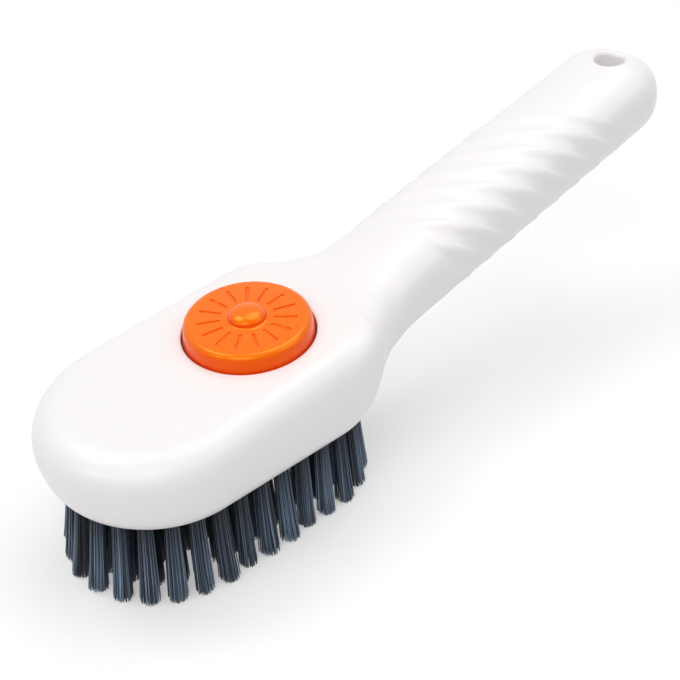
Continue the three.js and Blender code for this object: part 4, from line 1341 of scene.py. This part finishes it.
def studio_world(ambient):
    world = bpy.data.worlds.new("studio")
    bpy.context.scene.world = world
    world.use_nodes = True
    nodes, links = world.node_tree.nodes, world.node_tree.links
    background = nodes["Background"]
    background.inputs["Color"].default_value = WORLD_WHITE
    strength = nodes.new("ShaderNodeMapRange")
    strength.inputs["To Min"].default_value = ambient
    strength.inputs["To Max"].default_value = 1
    links.new(in_picture(nodes, links), strength.inputs["Value"])
    links.new(strength.outputs["Result"], background.inputs["Strength"])


def aim(place, target):
    """How a lamp or camera at a place is turned to face a target"""
    return (Vector(target) - Vector(place)).to_track_quat("-Z", "Y").to_euler()


def lamp(name, place, size, power):
    clear_selection()
    bpy.ops.object.light_add(type="AREA", location=place)
    light = bpy.context.object
    light.name = name
    light.rotation_euler = aim(place, LAMP_TARGET)
    light.data.shape = "DISK"
    light.data.size = size
    light.data.energy = power


class BRUSH_OT_stage(bpy.types.Operator):
    """Sets the pale floor, the soft studio light and the camera"""

    bl_idname = "brush.stage"
    bl_label = "Stage"

    def execute(self, context):
        stage = context.scene.brush_stage
        clear_selection()
        bpy.ops.mesh.primitive_grid_add(x_subdivisions=2, y_subdivisions=2, size=FLOOR_SIZE)
        floor = context.object
        floor.name = "pale_floor"
        dress(floor, floor_finish(context.scene.brush_colours.floor, stage.shadow))
        studio_world(stage.ambient)
        for name, (place, size) in LAMPS.items():
            lamp(name + "_light", place, size, getattr(stage, name))
        clear_selection()
        bpy.ops.object.camera_add(location=stage.eye)
        camera = context.object
        camera.rotation_euler = aim(stage.eye, stage.target)
        camera.data.lens = stage.lens
        camera.data.sensor_width = SENSOR_WIDTH
        camera.data.clip_start = NEAREST_SEEN
        context.scene.camera = camera
        context.scene.view_settings.view_transform = "Standard"
        return {"FINISHED"}


class BRUSH_PT_pieces(bpy.types.Panel):
    """Lists the brush's pieces and sizes"""

    bl_label = "Shoe cleaning brush"
    bl_idname = "BRUSH_PT_pieces"
    bl_space_type = "VIEW_3D"
    bl_region_type = "UI"
    bl_category = "Brush"

    def draw(self, context):
        for operator in OPERATORS:
            self.layout.operator(operator.bl_idname)
        for name, group in SETTINGS.items():
            box = self.layout.box()
            box.label(text=group.__doc__)
            for prop in group.__annotations__:
                box.prop(getattr(context.scene, name), prop)


SETTINGS = {
    "brush_body": BrushBodySizes,
    "brush_button": BrushButtonSizes,
    "brush_bristles": BrushBristleSizes,
    "brush_colours": BrushColours,
    "brush_stage": BrushStage,
}
OPERATORS = (
    BRUSH_OT_body_shell,
    BRUSH_OT_button_cap,
    BRUSH_OT_bristles,
    BRUSH_OT_springs,
    BRUSH_OT_turned_pieces,
    BRUSH_OT_inner_mouldings,
    BRUSH_OT_stage,
)
CLASSES = (*SETTINGS.values(), *OPERATORS, BRUSH_PT_pieces)


def register():
    for item in CLASSES:
        bpy.utils.register_class(item)
    for name, group in SETTINGS.items():
        setattr(bpy.types.Scene, name, PointerProperty(type=group))


def unregister():
    for name in SETTINGS:
        delattr(bpy.types.Scene, name)
    for item in reversed(CLASSES):
        bpy.utils.unregister_class(item)


def main():
    register()
    bpy.ops.brush.body_shell()
    bpy.ops.brush.button_cap()
    bpy.ops.brush.bristles()
    bpy.ops.brush.springs()
    bpy.ops.brush.turned_pieces()
    bpy.ops.brush.inner_mouldings()
    bpy.ops.brush.stage()


if __name__ == "__main__":
    main()
